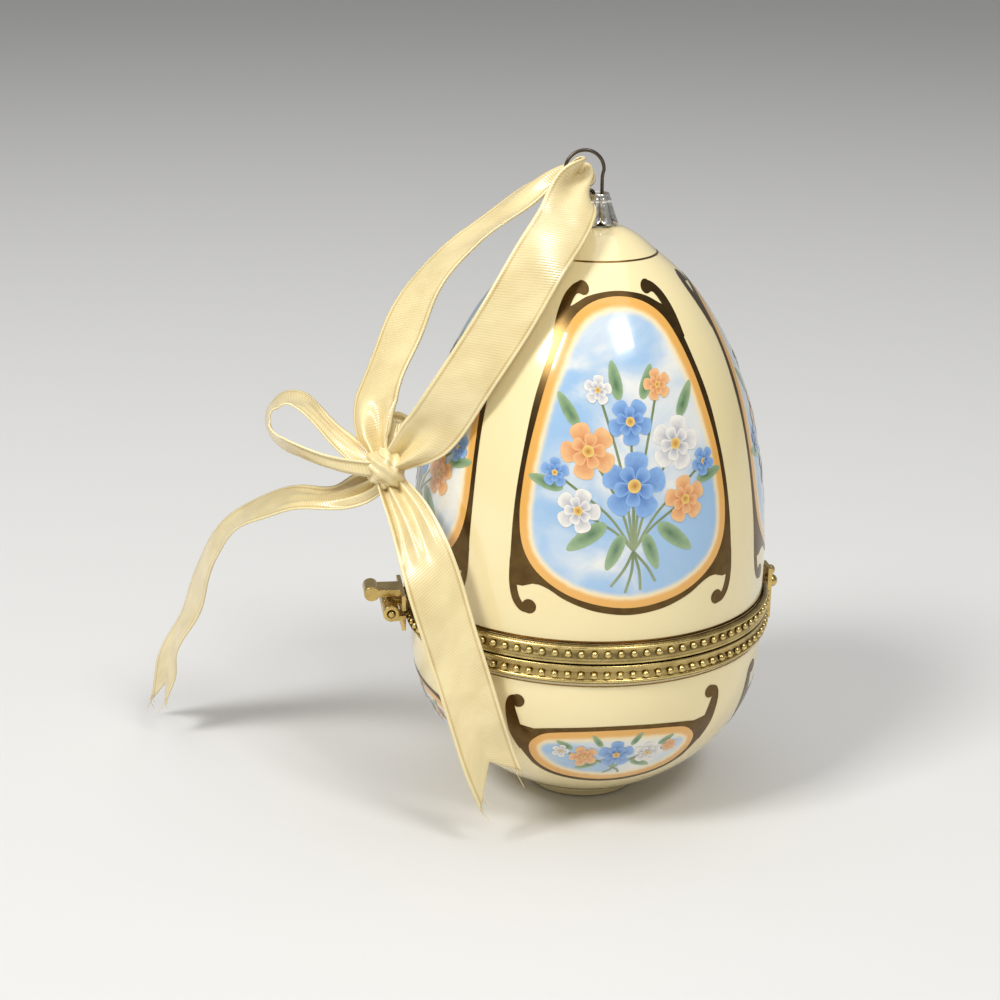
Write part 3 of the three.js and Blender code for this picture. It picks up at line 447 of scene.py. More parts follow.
@dataclass(frozen=True)
class MouldedPlastic:
    """Injection-moulded styrene: an even satin surface with a faint spark-eroded grain.

    The mould's real grain is about 0.05 mm; it is drawn eight times coarser to show.
    """

    name: str = "moulded_styrene"
    body: str = "#E9DFC4"
    shade: str = "#DCCFAE"
    grain_mm: float = 0.4
    grain: float = 0.1
    grain_depth_mm: float = 0.05
    roughness: float = 0.45

    def build(self) -> bpy.types.Material:
        """Builds the plastic.

        Returns:
            The material.
        """
        material, tree, shader = blank(self.name)
        place = add_node(tree, "ShaderNodeTexCoord").outputs["Object"]
        grainy = {"Vector": place, "Scale": per_metre(self.grain_mm), "Detail": 2.0}
        grain = add_node(tree, "ShaderNodeTexNoise", grainy).outputs[0]
        tones = {0: grain, 6: linear(self.body), 7: linear(self.shade)}
        colour = add_node(tree, "ShaderNodeMix", tones, data_type="RGBA").outputs[2]
        relief = {"Height": grain, "Strength": self.grain, "Distance": self.grain_depth_mm * MM}
        bump = add_node(tree, "ShaderNodeBump", relief).outputs[0]
        feed(tree, shader, {"Base Color": colour, "Normal": bump, "Roughness": self.roughness})
        return material


# Pressed aged brass: the raised beads stay bright and painted shade browns the grooves and inner faces.
ANTIQUE_BRASS = Metal("antique_brass", "#E2CA86", "#7A6337", 0.29, recess_shade=True)
# Brass from the lathe and the die: an even, warm gleam with little tarnish.
TURNED_BRASS = Metal("turned_brass", "#D8BC76", "#9A7D42", 0.26)
# Gold drawn as a fine line: thinner than the frames' film, so it looks lighter and yellower.
GOLD_LINE = GoldLustre("fine_gold_line", "#6A4B20", "#A98345")
# Stamped sheet with a plated silver skin: near-white, with engraved lines and grey-brown painted shade in the
# folds and the bore.
SILVER_PLATE = Metal("silver_plate", "#F0EDE4", "#8B8373", 0.18, recess_shade=True)
# Steel wire drawn through a die and left to darken: a thin, dull gleam.
DARK_WIRE = Metal("dark_drawn_wire", "#6B6257", "#3A332B", 0.34)
# Milled and ground steel: a neutral grey with broad, soft lights.
MACHINED_STEEL = Metal("machined_steel", "#A9ABAD", "#6E7072", 0.32)


@dataclass
class Workshop:
    """Keeps each finish that has been made, so that a material is built once."""

    made: dict[str, bpy.types.Material] = field(default_factory=dict)

    def material(self, finish: Finish) -> bpy.types.Material:
        """Finds the material of a finish, and builds it at its first use.

        Args:
            finish: What is asked for.

        Returns:
            The material.
        """
        if finish.name not in self.made:
            self.made[finish.name] = finish.build()
        return self.made[finish.name]

    def piece(
        self,
        name: str,
        points: list[Vector],
        faces: list[Face],
        part: Part,
        finish: Finish,
        slot: str,
        tints: dict[str, list[float]] | None = None,
    ) -> bpy.types.Object:
        """Makes one mesh piece, dresses it and lets it ride on its body.

        Args:
            name: The piece's name.
            points: Corners in millimetres.
            faces: Corner numbers of each face.
            part: The body that it rides on.
            finish: What it is made of.
            slot: Not used.
            tints: Values for each corner that the finish reads, by name.

        Returns:
            The new object.
        """
        mesh = bpy.data.meshes.new(name)
        mesh.from_pydata([point * MM for point in points], [], faces)
        mesh.validate()
        mesh.polygons.foreach_set("use_smooth", [True] * len(mesh.polygons))
        for label, values in (tints or {}).items():
            mesh.attributes.new(label, "FLOAT", "POINT").data.foreach_set("value", values)
        mesh.materials.append(self.material(finish))
        made = bpy.data.objects.new(name, mesh)
        bpy.context.scene.collection.objects.link(made)
        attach(made, part.value)
        LOG.info("%s: %d faces", name, len(mesh.polygons))
        return made


def turns(count: int) -> list[float]:
    """Even steps round a full turn, in radians."""
    return [2 * math.pi * k / count for k in range(count)]


def around(radius: float, turn: float, height: float) -> Vector:
    """The point at a radius and a height, turned from the front about the upright axis."""
    return Vector((radius * math.sin(turn), -radius * math.cos(turn), height))


def hoop(centre: Vector, one: Vector, two: Vector, radius: float, sides: int) -> list[Vector]:
    """Points round a centre in the plane of two directions."""
    return [centre + (one * math.cos(t) + two * math.sin(t)) * radius for t in turns(sides)]


def grid_faces(
    rows: int, columns: int, closed_rows: bool = False, closed_columns: bool = False
) -> list[Face]:
    """Quads between the points of a grid that is stored row by row.

    Args:
        rows: How many rows of points there are.
        columns: How many points a row has.
        closed_rows: Whether the last row meets the first.
        closed_columns: Whether each row meets its own start.

    Returns:
        Corner numbers of each quad.
    """
    faces = []
    for i in range(rows if closed_rows else rows - 1):
        for j in range(columns if closed_columns else columns - 1):
            a, b = i * columns, ((i + 1) % rows) * columns
            k = (j + 1) % columns
            faces.append((a + j, a + k, b + k, b + j))
    return faces


def flipped(faces: list[Face]) -> list[Face]:
    """The same faces, seen from the other side."""
    return [face[::-1] for face in faces]


def shifted(faces: list[Face], start: int) -> list[Face]:
    """The same faces on points that start later in the list."""
    return [tuple(start + k for k in face) for face in faces]


def bezier(controls: tuple[Pair, Pair, Pair, Pair], steps: int) -> list[Pair]:
    """Points of a cubic curve in the profile plane.

    Args:
        controls: Its four control points as radius and height.
        steps: How many spans it is cut into.

    Returns:
        The points from the first control to the last.
    """
    points = []
    for i in range(steps + 1):
        t = i / steps
        weights = ((1 - t) ** 3, 3 * t * (1 - t) ** 2, 3 * t * t * (1 - t), t**3)
        points.append(tuple(sum(w * c[k] for w, c in zip(weights, controls)) for k in (0, 1)))
    return points


def signed_area(outline: list[Pair]) -> float:
    """Twice the area inside an outline, below nought where it runs clockwise."""
    return sum(a[0] * b[1] - b[0] * a[1] for a, b in zip(outline, outline[1:] + outline[:1]))


def leaving(outline: list[Pair], middle: Pair, turn: float) -> Pair:
    """Where a ray from the middle of an outline leaves it.

    Args:
        outline: Points round it.
        middle: Where the ray starts.
        turn: The ray's direction in radians.

    Returns:
        The point on the outline.
    """
    way = (math.cos(turn), math.sin(turn))
    for (x0, z0), (x1, z1) in zip(outline, outline[1:] + outline[:1]):
        a = way[0] * (z0 - middle[1]) - way[1] * (x0 - middle[0])
        b = way[0] * (z1 - middle[1]) - way[1] * (x1 - middle[0])
        if (a <= 0) != (b <= 0):
            spot = (x0 + (x1 - x0) * a / (a - b), z0 + (z1 - z0) * a / (a - b))
            if way[0] * (spot[0] - middle[0]) + way[1] * (spot[1] - middle[1]) > 0:
                return spot
    return middle


def swung(start: Pair, size: float, way: float, along: float, aside: float) -> Pair:
    """A place in a motif that is turned and scaled.

    Args:
        start: The motif's root, across and height.
        size: Its length.
        way: Its direction in radians from the right.
        along: How far along it the place is, as a share of its length.
        aside: How far to its left, as a share of its length.

    Returns:
        Across and height of the place.
    """
    across = start[0] + size * (along * math.cos(way) - aside * math.sin(way))
    return across, start[1] + size * (along * math.sin(way) + aside * math.cos(way))


def between(p: float, q: float, r: float, s: float, t: float) -> float:
    """The smooth curve a share t of the way from q to r, with p before them and s after."""
    square, cube = 2 * p - 5 * q + 4 * r - s, 3 * q - p - 3 * r + s
    return 0.5 * (2 * q + (r - p) * t + square * t * t + cube * t**3)


def spline(rows: list[Row], steps: int, closed: bool = False) -> list[Row]:
    """A smooth curve through rows of numbers.

    Args:
        rows: What the curve passes through.
        steps: Spans between one row and the next.
        closed: Whether it comes back to its first row.

    Returns:
        The rows of the curve.
    """
    ends = [rows[-1], *rows, rows[0], rows[1]] if closed else [rows[0], *rows, rows[-1]]
    made = []
    for near in zip(ends, ends[1:], ends[2:], ends[3:]):
        for k in range(steps):
            made.append(tuple(between(*values, k / steps) for values in zip(*near)))
    return made if closed else [*made, tuple(rows[-1])]


def turned(profile: list[Pair], segments: int) -> tuple[list[Vector], list[Face]]:
    """A closed ring section turned about the upright axis.

    Args:
        profile: Radius and height of each corner of the section.
        segments: How many steps make the turn.

    Returns:
        The points and faces.
    """
    points = [around(radius, turn, z) for turn in turns(segments) for radius, z in profile]
    faces = grid_faces(segments, len(profile), True, True)
    return points, flipped(faces) if signed_area(profile) > 0 else faces


@dataclass(frozen=True)
class EggForm:
    """The porcelain's outline, in millimetres, that both halves and their decoration share.

    The flare steers the lower curve near the foot: how far past the foot's radius and height it stands.
    Belly, side and crest are each a radius past the shell's and a share of their half's height, and the
    dome's two are shares of the shoulder's radius and the dome's rise.
    """

    wall: float = 2.8
    foot_radius: float = 10.8
    foot_height: float = 1.5
    foot_out: float = 0.7
    flare: Pair = (0.2, 1.0)
    belly: Pair = (3.2, 0.27)
    seam: float = 38.0
    edge_drop: float = 2.2
    shell_radius: float = 33.9
    side: Pair = (1.1, 0.35)
    crest: Pair = (-3.2, 0.8)
    shoulder_radius: float = 11.0
    shoulder: float = 106.5
    dome_rise: float = 4.6
    dome: tuple[Pair, Pair] = ((0.8, 0.45), (0.6, 0.85))
    neck_radius: float = 3.2
    neck_bore: float = 2.2
    fine_spans: tuple[int, int, int] = (160, 200, 40)

    def base_curve(self, steps: int) -> list[Pair]:
        """The lower half's outside.

        Args:
            steps: How many spans it is cut into.

        Returns:
            Its points from the foot to its edge.
        """
        foot = (self.foot_radius + self.foot_out, self.foot_height)
        flare = (self.foot_radius + self.flare[0], self.foot_height + self.flare[1])
        belly = (self.shell_radius + self.belly[0], self.seam * self.belly[1])
        return bezier((foot, flare, belly, (self.shell_radius, self.seam - self.edge_drop)), steps)

    def lid_curve(self, steps: int) -> list[Pair]:
        """The upper half's outside.

        Args:
            steps: How many spans it is cut into.

        Returns:
            Its points from its edge to the shoulder.
        """
        rise = self.shoulder - self.seam
        edge = (self.shell_radius, self.seam + self.edge_drop)
        side = (self.shell_radius + self.side[0], self.seam + rise * self.side[1])
        crest = (self.shell_radius + self.crest[0], self.seam + rise * self.crest[1])
        return bezier((edge, side, crest, (self.shoulder_radius, self.shoulder)), steps)

    def dome_curve(self, steps: int) -> list[Pair]:
        """The dome's outside.

        Args:
            steps: How many spans it is cut into.

        Returns:
            Its points from the shoulder to the neck.
        """
        low, high = [(self.shoulder_radius * r, self.shoulder + self.dome_rise * z) for r, z in self.dome]
        neck = (self.neck_radius, self.shoulder + self.dome_rise)
        return bezier(((self.shoulder_radius, self.shoulder), low, high, neck), steps)

    def inset(self, curve: list[Pair]) -> list[Pair]:
        """Moves a curve inwards by the wall.

        Args:
            curve: Points of the outside.

        Returns:
            Points of the inside.
        """
        moved = []
        for i, (radius, height) in enumerate(curve):
            before, after = curve[max(i - 1, 0)], curve[min(i + 1, len(curve) - 1)]
            run, rise = after[0] - before[0], after[1] - before[1]
            size = math.hypot(run, rise)
            moved.append((radius - rise / size * self.wall, height + run / size * self.wall))
        return moved

    def skin(self) -> list[Pair]:
        """The whole outside as fine points from the foot to the neck."""
        base, lid, dome = self.fine_spans
        return [*self.base_curve(base), *self.lid_curve(lid), *self.dome_curve(dome)[1:]]


@dataclass
class EggSkin:
    """Finds places on the porcelain from an azimuth, an arc length across and a height."""

    form: EggForm
    points: list[Pair] = field(default_factory=list)

    def __post_init__(self) -> None:
        """Keeps the outline's fine points."""
        self.points = self.form.skin()

    def at(self, height: float) -> tuple[float, float, float]:
        """The outline at a height.

        Args:
            height: Millimetres above the table.

        Returns:
            Its radius and the outward normal's share across and up.
        """
        for (r0, z0), (r1, z1) in zip(self.points, self.points[1:]):
            if z0 <= height <= z1 and z1 > z0:
                share = (height - z0) / (z1 - z0)
                size = math.hypot(r1 - r0, z1 - z0)
                return r0 + (r1 - r0) * share, (z1 - z0) / size, (r0 - r1) / size
        return self.points[-1][0], 0.0, 1.0

    def place(self, azimuth: float, across: float, height: float, lift: float) -> Vector:
        """A point on the porcelain.

        Args:
            azimuth: Degrees round from the front.
            across: Arc length from there, in millimetres.
            height: Millimetres above the table.
            lift: How far it stands off the glaze.

        Returns:
            The point in the part's frame.
        """
        radius, out, up = self.at(height)
        turn = math.radians(azimuth) + across / radius
        return around(radius + lift * out, turn, height + lift * up)


@dataclass
class PorcelainHalves:
    """The two glazed halves of the egg; solid spans are those that the inside leaves out."""

    form: EggForm
    segments: int = 144
    lip: float = 0.35
    axis: float = 0.01
    foot_hollow: float = 0.35
    foot_ring: Pair = (2.6, 2.0)
    foot_step: float = 0.2
    base_spans: int = 56
    base_solid: int = 8
    lid_spans: int = 72
    lid_solid: int = 6
    dome_spans: int = 16

    def build(self, shop: Workshop) -> None:
        """Makes both halves."""
        self._base(shop)
        self._lid(shop)

    def _base(self, shop: Workshop) -> None:
        """Makes the lower half with its low foot.

        Args:
            shop: Makes the piece.
        """
        form = self.form
        outer = form.base_curve(self.base_spans)
        inner = form.inset(outer)[self.base_solid :]
        inner[-1] = (form.shell_radius - form.wall, form.seam - form.edge_drop)
        foot = [
            (self.axis, self.foot_hollow),
            (form.foot_radius - self.foot_ring[0], self.foot_hollow),
            (form.foot_radius - self.foot_ring[1], 0.0),
            (form.foot_radius - self.lip, 0.0),
            (form.foot_radius, self.lip),
            (form.foot_radius, form.foot_height - self.foot_step),
        ]
        profile = [*foot, *outer, *reversed(inner), (self.axis, inner[0][1])]
        points, faces = turned(profile, self.segments)
        made = shop.piece("porcelain_base", points, faces, Part.BASE, Porcelain(), "porcelain")
        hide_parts("base_shell")

    def _lid(self, shop: Workshop) -> None:
        """Makes the upper half with its dome and bored neck.

        Args:
            shop: Makes the piece.
        """
        form = self.form
        outer = form.lid_curve(self.lid_spans)
        inner = form.inset(outer)[: -self.lid_solid]
        inner[0] = (form.shell_radius - form.wall, form.seam + form.edge_drop)
        neck = [(form.neck_bore, form.shoulder + form.dome_rise), (form.neck_bore, inner[-1][1])]
        profile = [*outer, *form.dome_curve(self.dome_spans)[1:], *neck, *reversed(inner)]
        points, faces = turned(profile, self.segments)
        made = shop.piece("porcelain_lid", points, faces, Part.LID, Porcelain(), "porcelain")
        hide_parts("lid_shell")


@dataclass
class Brush:
    """Draws strokes, spots and panels on the porcelain of one half, at one azimuth."""

    shop: Workshop
    skin: EggSkin
    part: Part
    azimuth: float
    wash_rings: int = 4
    points: list[Vector] = field(default_factory=list)
    faces: list[Face] = field(default_factory=list)
    tints: list[float] = field(default_factory=list)

    def patch(self, points: list[Vector], faces: list[Face], tints: list[float]) -> None:
        """Adds one patch to what is drawn so far.

        Args:
            points: Its corners.
            faces: Corner numbers of each face.
            tints: The value at each corner that the finish reads.
        """
        self.faces += shifted(faces, len(self.points))
        self.points += points
        self.tints += tints

    def stroke(self, line: list[Pair], widths: list[float], lift: float) -> None:
        """Draws a line of changing width.

        Args:
            line: Across and height of each point.
            widths: The width at each point.
            lift: How far it stands off the glaze.
        """
        count = len(line)
        points, tints = [], []
        for i, (x, z) in enumerate(line):
            before, after = line[max(i - 1, 0)], line[min(i + 1, count - 1)]
            run, rise = after[0] - before[0], after[1] - before[1]
            size = math.hypot(run, rise) or 1.0
            nx, nz = -rise / size, run / size
            for share in EDGES_AND_MIDDLE:
                step = share * widths[i]
                points.append(self.skin.place(self.azimuth, x + nx * step, z + nz * step, lift))
            tints += [i / count] * len(EDGES_AND_MIDDLE)
        self.patch(points, flipped(grid_faces(count, len(EDGES_AND_MIDDLE))), tints)

    def fan(self, outline: list[Pair], root: Pair, lift: float) -> None:
        """Fills an outline from a root point; the tint runs from the root outwards.

        Args:
            outline: Across and height of each point round it.
            root: Where the wash starts.
            lift: How far it stands off the glaze.
        """
        count = len(outline)
        if signed_area(outline) < 0:
            outline = outline[::-1]
        points = [self.skin.place(self.azimuth, *root, lift)]
        tints = [0.0]
        for ring in range(1, self.wash_rings + 1):
            share = ring / self.wash_rings
            for x, z in outline:
                spot = (root[0] + (x - root[0]) * share, root[1] + (z - root[1]) * share)
                points.append(self.skin.place(self.azimuth, *spot, lift))
                tints.append(share)
        faces = [(0, 1 + k, 1 + (k + 1) % count) for k in range(count)]
        faces += shifted(flipped(grid_faces(self.wash_rings, count, False, True)), 1)
        self.patch(points, faces, tints)

    def spot(self, middle: Pair, radius: float, lift: float, sides: int) -> None:
        """Draws a round spot.

        Args:
            middle: Across and height of its middle.
            radius: Its radius.
            lift: How far it stands off the glaze.
            sides: How many points go round it.
        """
        x, z = middle
        self.fan([(x + radius * math.cos(t), z + radius * math.sin(t)) for t in turns(sides)], middle, lift)

    def done(self, name: str, finish: Finish, tint: str = "tint") -> None:
        """Makes what was drawn into a piece and starts afresh.

        Args:
            name: The piece's name.
            finish: What it is drawn in.
            tint: The name of the value that the finish reads.
        """
        tints = {tint: self.tints}
        self.shop.piece(name, self.points, self.faces, self.part, finish, "porcelain", tints)
        self.points, self.faces, self.tints = [], [], []


@dataclass(frozen=True)
class Blossom:
    """One flower of a spray: its middle, size, turn and colour."""

    across: float
    height: float
    radius: float
    turn: float
    wash: PetalPrint


# Decal inks fired under the glaze: each wash is strong at the root and thins to a pale tip.
BLUE_WASH = PetalPrint("blue_wash", "#3563A8", "#8DB3E0")
PEACH_WASH = PetalPrint("peach_wash", "#CC6F3A", "#F0BE85")
WHITE_WASH = PetalPrint("white_wash", "#9092A6", "#F1ECE0")
LEAF_WASH = PetalPrint("leaf_wash", "#4F7350", "#98B185")
STEM_WASH = PetalPrint("stem_wash", "#6E7F52", "#93A077")
HEART_WASH = PetalPrint("heart_wash", "#B9782F", "#F0CF77")


@dataclass
class Spray:
    """A painted posy of blossoms, buds, leaves and stems.

    Each leaf is its root's place across and height, its length and its turn in degrees from the right.
    A petal's reach is its middle, its half length and how blunt its ends are, and its width is its half
    width, the share of that at its root and how fast it grows outwards: it is widest past its middle.
    Lifts are how far each layer stands off the glaze.
    """

    blossoms: tuple[Blossom, ...]
    leaves: tuple[Row, ...]
    tie: Pair
    foot: tuple[Pair, ...]
    stem_spans: int = 8
    stem_width: float = 0.45
    stem_bend: float = 0.35
    foot_spans: int = 6
    foot_width: float = 0.5
    foot_bend: float = 0.4
    stem_lift: float = 0.05
    leaf_points: int = 20
    leaf_width: float = 0.21
    leaf_taper: float = 0.35
    leaf_root: float = 0.35
    leaf_lift: float = 0.07
    petals: int = 5
    petal_points: int = 16
    petal_root: float = 0.14
    petal_reach: Row = (0.55, 0.45, 0.05)
    petal_width: Row = (0.36, 0.55, 0.65)
    petal_lift: float = 0.09
    blossom_step: float = 0.02
    petal_step: float = 0.004
    whorls: tuple[Row, ...] = ((1.0, 0.0, 0.0), (0.62, 0.5, 0.04))
    heart: float = 0.2
    heart_points: int = 14
    heart_lift: float = 0.2

    def build(self, brush: Brush, name: str) -> None:
        """Paints the stems first, then leaves and blossoms over them.

        Args:
            brush: What it is painted with.
            name: The start of its pieces' names.
        """
        self._stems(brush)
        brush.done(f"{name}_stems", STEM_WASH)
        for leaf in self.leaves:
            self._leaf(brush, *leaf)
        brush.done(f"{name}_leaves", LEAF_WASH)
        for wash in (WHITE_WASH, PEACH_WASH, BLUE_WASH):
            chosen = [b for b in self.blossoms if b.wash is wash]
            for k, blossom in enumerate(chosen):
                self._petals(brush, blossom, self.petal_lift + self.blossom_step * k)
            brush.done(f"{name}_{wash.name}", wash)
        for blossom in self.blossoms:
            middle, radius = (blossom.across, blossom.height), blossom.radius * self.heart
            brush.spot(middle, radius, self.heart_lift, self.heart_points)
        brush.done(f"{name}_hearts", HEART_WASH)

    def _stems(self, brush: Brush) -> None:
        """Draws a stem from each blossom to the tie, and the cut ends below it.

        Args:
            brush: What they are painted with.
        """
        x, z = self.tie
        for blossom in self.blossoms:
            start = (blossom.across, blossom.height)
            bend = (x + (start[0] - x) * self.stem_bend, (start[1] + z) / 2)
            line = spline([start, bend, self.tie], self.stem_spans)
            brush.stroke(line, [self.stem_width] * len(line), self.stem_lift)
        for end in self.foot:
            bend = ((x + end[0]) / 2 + self.foot_bend, (z + end[1]) / 2)
            line = spline([self.tie, bend, end], self.foot_spans)
            brush.stroke(line, [self.foot_width] * len(line), self.stem_lift)

    def _leaf(self, brush: Brush, across: float, height: float, length: float, turn: float) -> None:
        """Draws one pointed leaf from its root.

        Args:
            brush: What it is painted with.
            across: Its root's place across.
            height: Its root's height.
            length: From root to tip.
            turn: Its direction in degrees from the right.
        """
        start, way = (across, height), math.radians(turn)
        outline = []
        for t in turns(self.leaf_points):
            u = 0.5 - 0.5 * math.cos(t)
            v = self.leaf_width * math.sin(t) * (1 - self.leaf_taper * u)
            outline.append(swung(start, length, way, u, v))
        brush.fan(outline, swung(start, length, way, self.leaf_root, 0.0), self.leaf_lift)

    def _petals(self, brush: Brush, blossom: Blossom, lift: float) -> None:
        """Draws a blossom's outer petals and a smaller whorl over them.

        Args:
            brush: What they are painted with.
            blossom: Which blossom they belong to.
            lift: How far the first petal stands off the glaze.
        """
        start = (blossom.across, blossom.height)
        middle, half, blunt = self.petal_reach
        width, at_root, growth = self.petal_width
        for scale, shift, step in self.whorls:
            for k in range(self.petals):
                way = math.radians(blossom.turn) + 2 * math.pi * (k + shift) / self.petals
                outline = []
                for t in turns(self.petal_points):
                    u = middle - half * math.cos(t) - blunt * math.cos(2 * t)
                    v = width * math.sin(t) * (at_root + growth * u)
                    outline.append(swung(start, blossom.radius * scale, way, u, v))
                root = swung(start, blossom.radius, way, self.petal_root, 0.0)
                brush.fan(outline, root, lift + step + self.petal_step * k)


LID_SPRAY = Spray(
    blossoms=(
        Blossom(0.6, 70.5, 6.2, 12, BLUE_WASH),
        Blossom(-7.4, 76.5, 5.2, 40, PEACH_WASH),
        Blossom(8.6, 77.2, 5.0, 5, WHITE_WASH),
        Blossom(-9.4, 66.2, 4.2, 70, WHITE_WASH),
        Blossom(10.4, 67.4, 4.4, 25, PEACH_WASH),
        Blossom(0.2, 81.4, 4.2, 55, BLUE_WASH),
        Blossom(-5.2, 86.6, 2.6, 10, WHITE_WASH),
        Blossom(5.6, 87.2, 2.8, 30, PEACH_WASH),
        Blossom(-13.4, 72.6, 2.7, 15, BLUE_WASH),
        Blossom(14.6, 73.4, 2.7, 50, BLUE_WASH),
    ),
    leaves=(
        (-4.5, 64.0, 8.5, 215), (5.0, 63.6, 8.5, -38), (-12.0, 70.0, 6.5, 165), (13.0, 70.4, 6.0, 12),
        (-9.0, 80.5, 6.5, 120), (9.5, 81.5, 6.5, 62), (-1.6, 85.0, 6.5, 98), (2.6, 85.0, 6.0, 70),
        (-1.5, 62.0, 7.0, 245), (2.5, 62.0, 7.0, -70),
    ),
    tie=(0.4, 59.0),
    foot=((-3.6, 52.6), (-1.0, 51.4), (1.8, 51.8), (4.6, 53.2)),
)
BASE_SPRAY = Spray(
    blossoms=(
        Blossom(0.2, 18.6, 3.5, 18, BLUE_WASH),
        Blossom(-5.8, 18.2, 2.8, 40, PEACH_WASH),
        Blossom(6.2, 18.4, 2.8, 10, WHITE_WASH),
        Blossom(-10.2, 19.4, 1.7, 0, WHITE_WASH),
        Blossom(10.6, 19.4, 1.7, 30, PEACH_WASH),
    ),
    leaves=(
        (-3.0, 16.6, 4.4, 205), (3.2, 16.6, 4.4, -25), (-8.0, 20.0, 3.6, 150), (8.2, 20.2, 3.6, 30),
        (-2.6, 20.6, 3.4, 125), (2.8, 20.8, 3.4, 55),
    ),
    tie=(0.0, 15.0),
    foot=((-1.6, 13.4), (1.4, 13.2)),
)


@dataclass
class Medallion:
    """A framed panel on the porcelain: printed field, gold frame and scrolled corners.

    The outline and the frame are right halves, as across and height; a scroll adds its width.
    The field stops short of its tips by a small share of its height, where it would have no width.
    Lifts are how far each layer stands off the glaze.
    """

    name: str
    part: Part
    outline: tuple[Pair, ...]
    frame: tuple[Pair, ...]
    scrolls: tuple[tuple[Row, ...], ...]
    spray: Spray
    azimuth: float
    copies: int = 4
    ring_spans: int = 8
    scroll_spans: int = 10
    lap: float = 0.12
    steps: int = 180
    frame_shares: Row = (0.0, 0.25, 0.5, 0.75, 1.0)
    rows: int = 56
    columns: int = 40
    tip: float = 0.0008
    scroll_end_points: int = 24
    field_lift: float = 0.03
    frame_lift: float = 0.05
    scroll_lift: float = 0.055
    scroll_end_lift: float = 0.06

    def build(self, shop: Workshop, skin: EggSkin) -> None:
        """Makes the panels round the egg.

        Args:
            shop: Makes the pieces.
            skin: Where the porcelain's surface is.
        """
        ring, frame_ring = self._ring(self.outline), self._ring(self.frame)
        for k in range(self.copies):
            brush = Brush(shop, skin, self.part, self.azimuth + 360 / self.copies * k)
            name = f"{self.name}_{k + 1}"
            self._field(brush, ring, f"{name}_field")
            self._gilding(brush, ring, frame_ring, f"{name}_gilding")
            self.spray.build(brush, name)

    def _ring(self, half: tuple[Pair, ...]) -> list[Pair]:
        """Returns a whole outline from its right half."""
        left = [(-x, z) for x, z in reversed(half[1:-1])]
        return spline([*half, *left], self.ring_spans, True)

    def _field(self, brush: Brush, ring: list[Pair], name: str) -> None:
        """Fills the panel with rows of points and notes how far each one is from the frame.

        Args:
            brush: What it is drawn with.
            ring: The panel's outline.
            name: The piece's name.
        """
        low, high = min(z for _, z in ring), max(z for _, z in ring)
        right = sorted(((z, x) for x, z in ring if x >= 0))
        points, edges = [], []
        for i in range(self.rows + 1):
            share = 0.5 - 0.5 * math.cos(math.pi * i / self.rows)
            z = low + (high - low) * min(max(share, self.tip), 1 - self.tip)
            half = self._half(right, z)
            for j in range(self.columns + 1):
                x = half * (2 * j / self.columns - 1)
                points.append(brush.skin.place(brush.azimuth, x, z, self.field_lift))
                edges.append(min(math.hypot(x - a, z - b) for a, b in ring))
        brush.patch(points, grid_faces(self.rows + 1, self.columns + 1), edges)
        brush.done(name, SkyPanel(), tint="edge")

    def _half(self, right: list[Pair], z: float) -> float:
        """Finds half the panel's width.

        Args:
            right: Height and place across of the right half's points, from the lowest up.
            z: The height.

        Returns:
            The width from the middle to the right.
        """
        for (z0, x0), (z1, x1) in zip(right, right[1:]):
            if z0 <= z <= z1:
                return x0 + (x1 - x0) * (z - z0) / ((z1 - z0) or 1.0)
        return 0.0

    def _gilding(self, brush: Brush, ring: list[Pair], frame_ring: list[Pair], name: str) -> None:
        """Lays the frame round the field, then the scrolls with their round ends.

        Args:
            brush: What it is drawn with.
            ring: The panel's outline.
            frame_ring: The frame's outline.
            name: The piece's name.
        """
        middle = (0.0, (self.outline[0][1] + self.outline[-1][1]) / 2)
        count = len(self.frame_shares)
        points, tints = [], []
        for i, turn in enumerate(turns(self.steps)):
            inner, outer = leaving(ring, middle, turn), leaving(frame_ring, middle, turn)
            inner = (inner[0] - self.lap * math.cos(turn), inner[1] - self.lap * math.sin(turn))
            for share in self.frame_shares:
                spot = tuple(a + (b - a) * share for a, b in zip(inner, outer))
                points.append(brush.skin.place(brush.azimuth, *spot, self.frame_lift))
            tints += [i / self.steps] * count
        brush.patch(points, flipped(grid_faces(self.steps, count, True)), tints)
        for mirror in (1, -1):
            for scroll in self.scrolls:
                rows = spline([(x * mirror, z, w) for x, z, w in scroll], self.scroll_spans)
                brush.stroke([(x, z) for x, z, _ in rows], [w for _, _, w in rows], self.scroll_lift)
                x, z, w = rows[-1]
                brush.spot((x, z), 0.5 * w, self.scroll_end_lift, self.scroll_end_points)
        brush.done(name, GoldLustre())


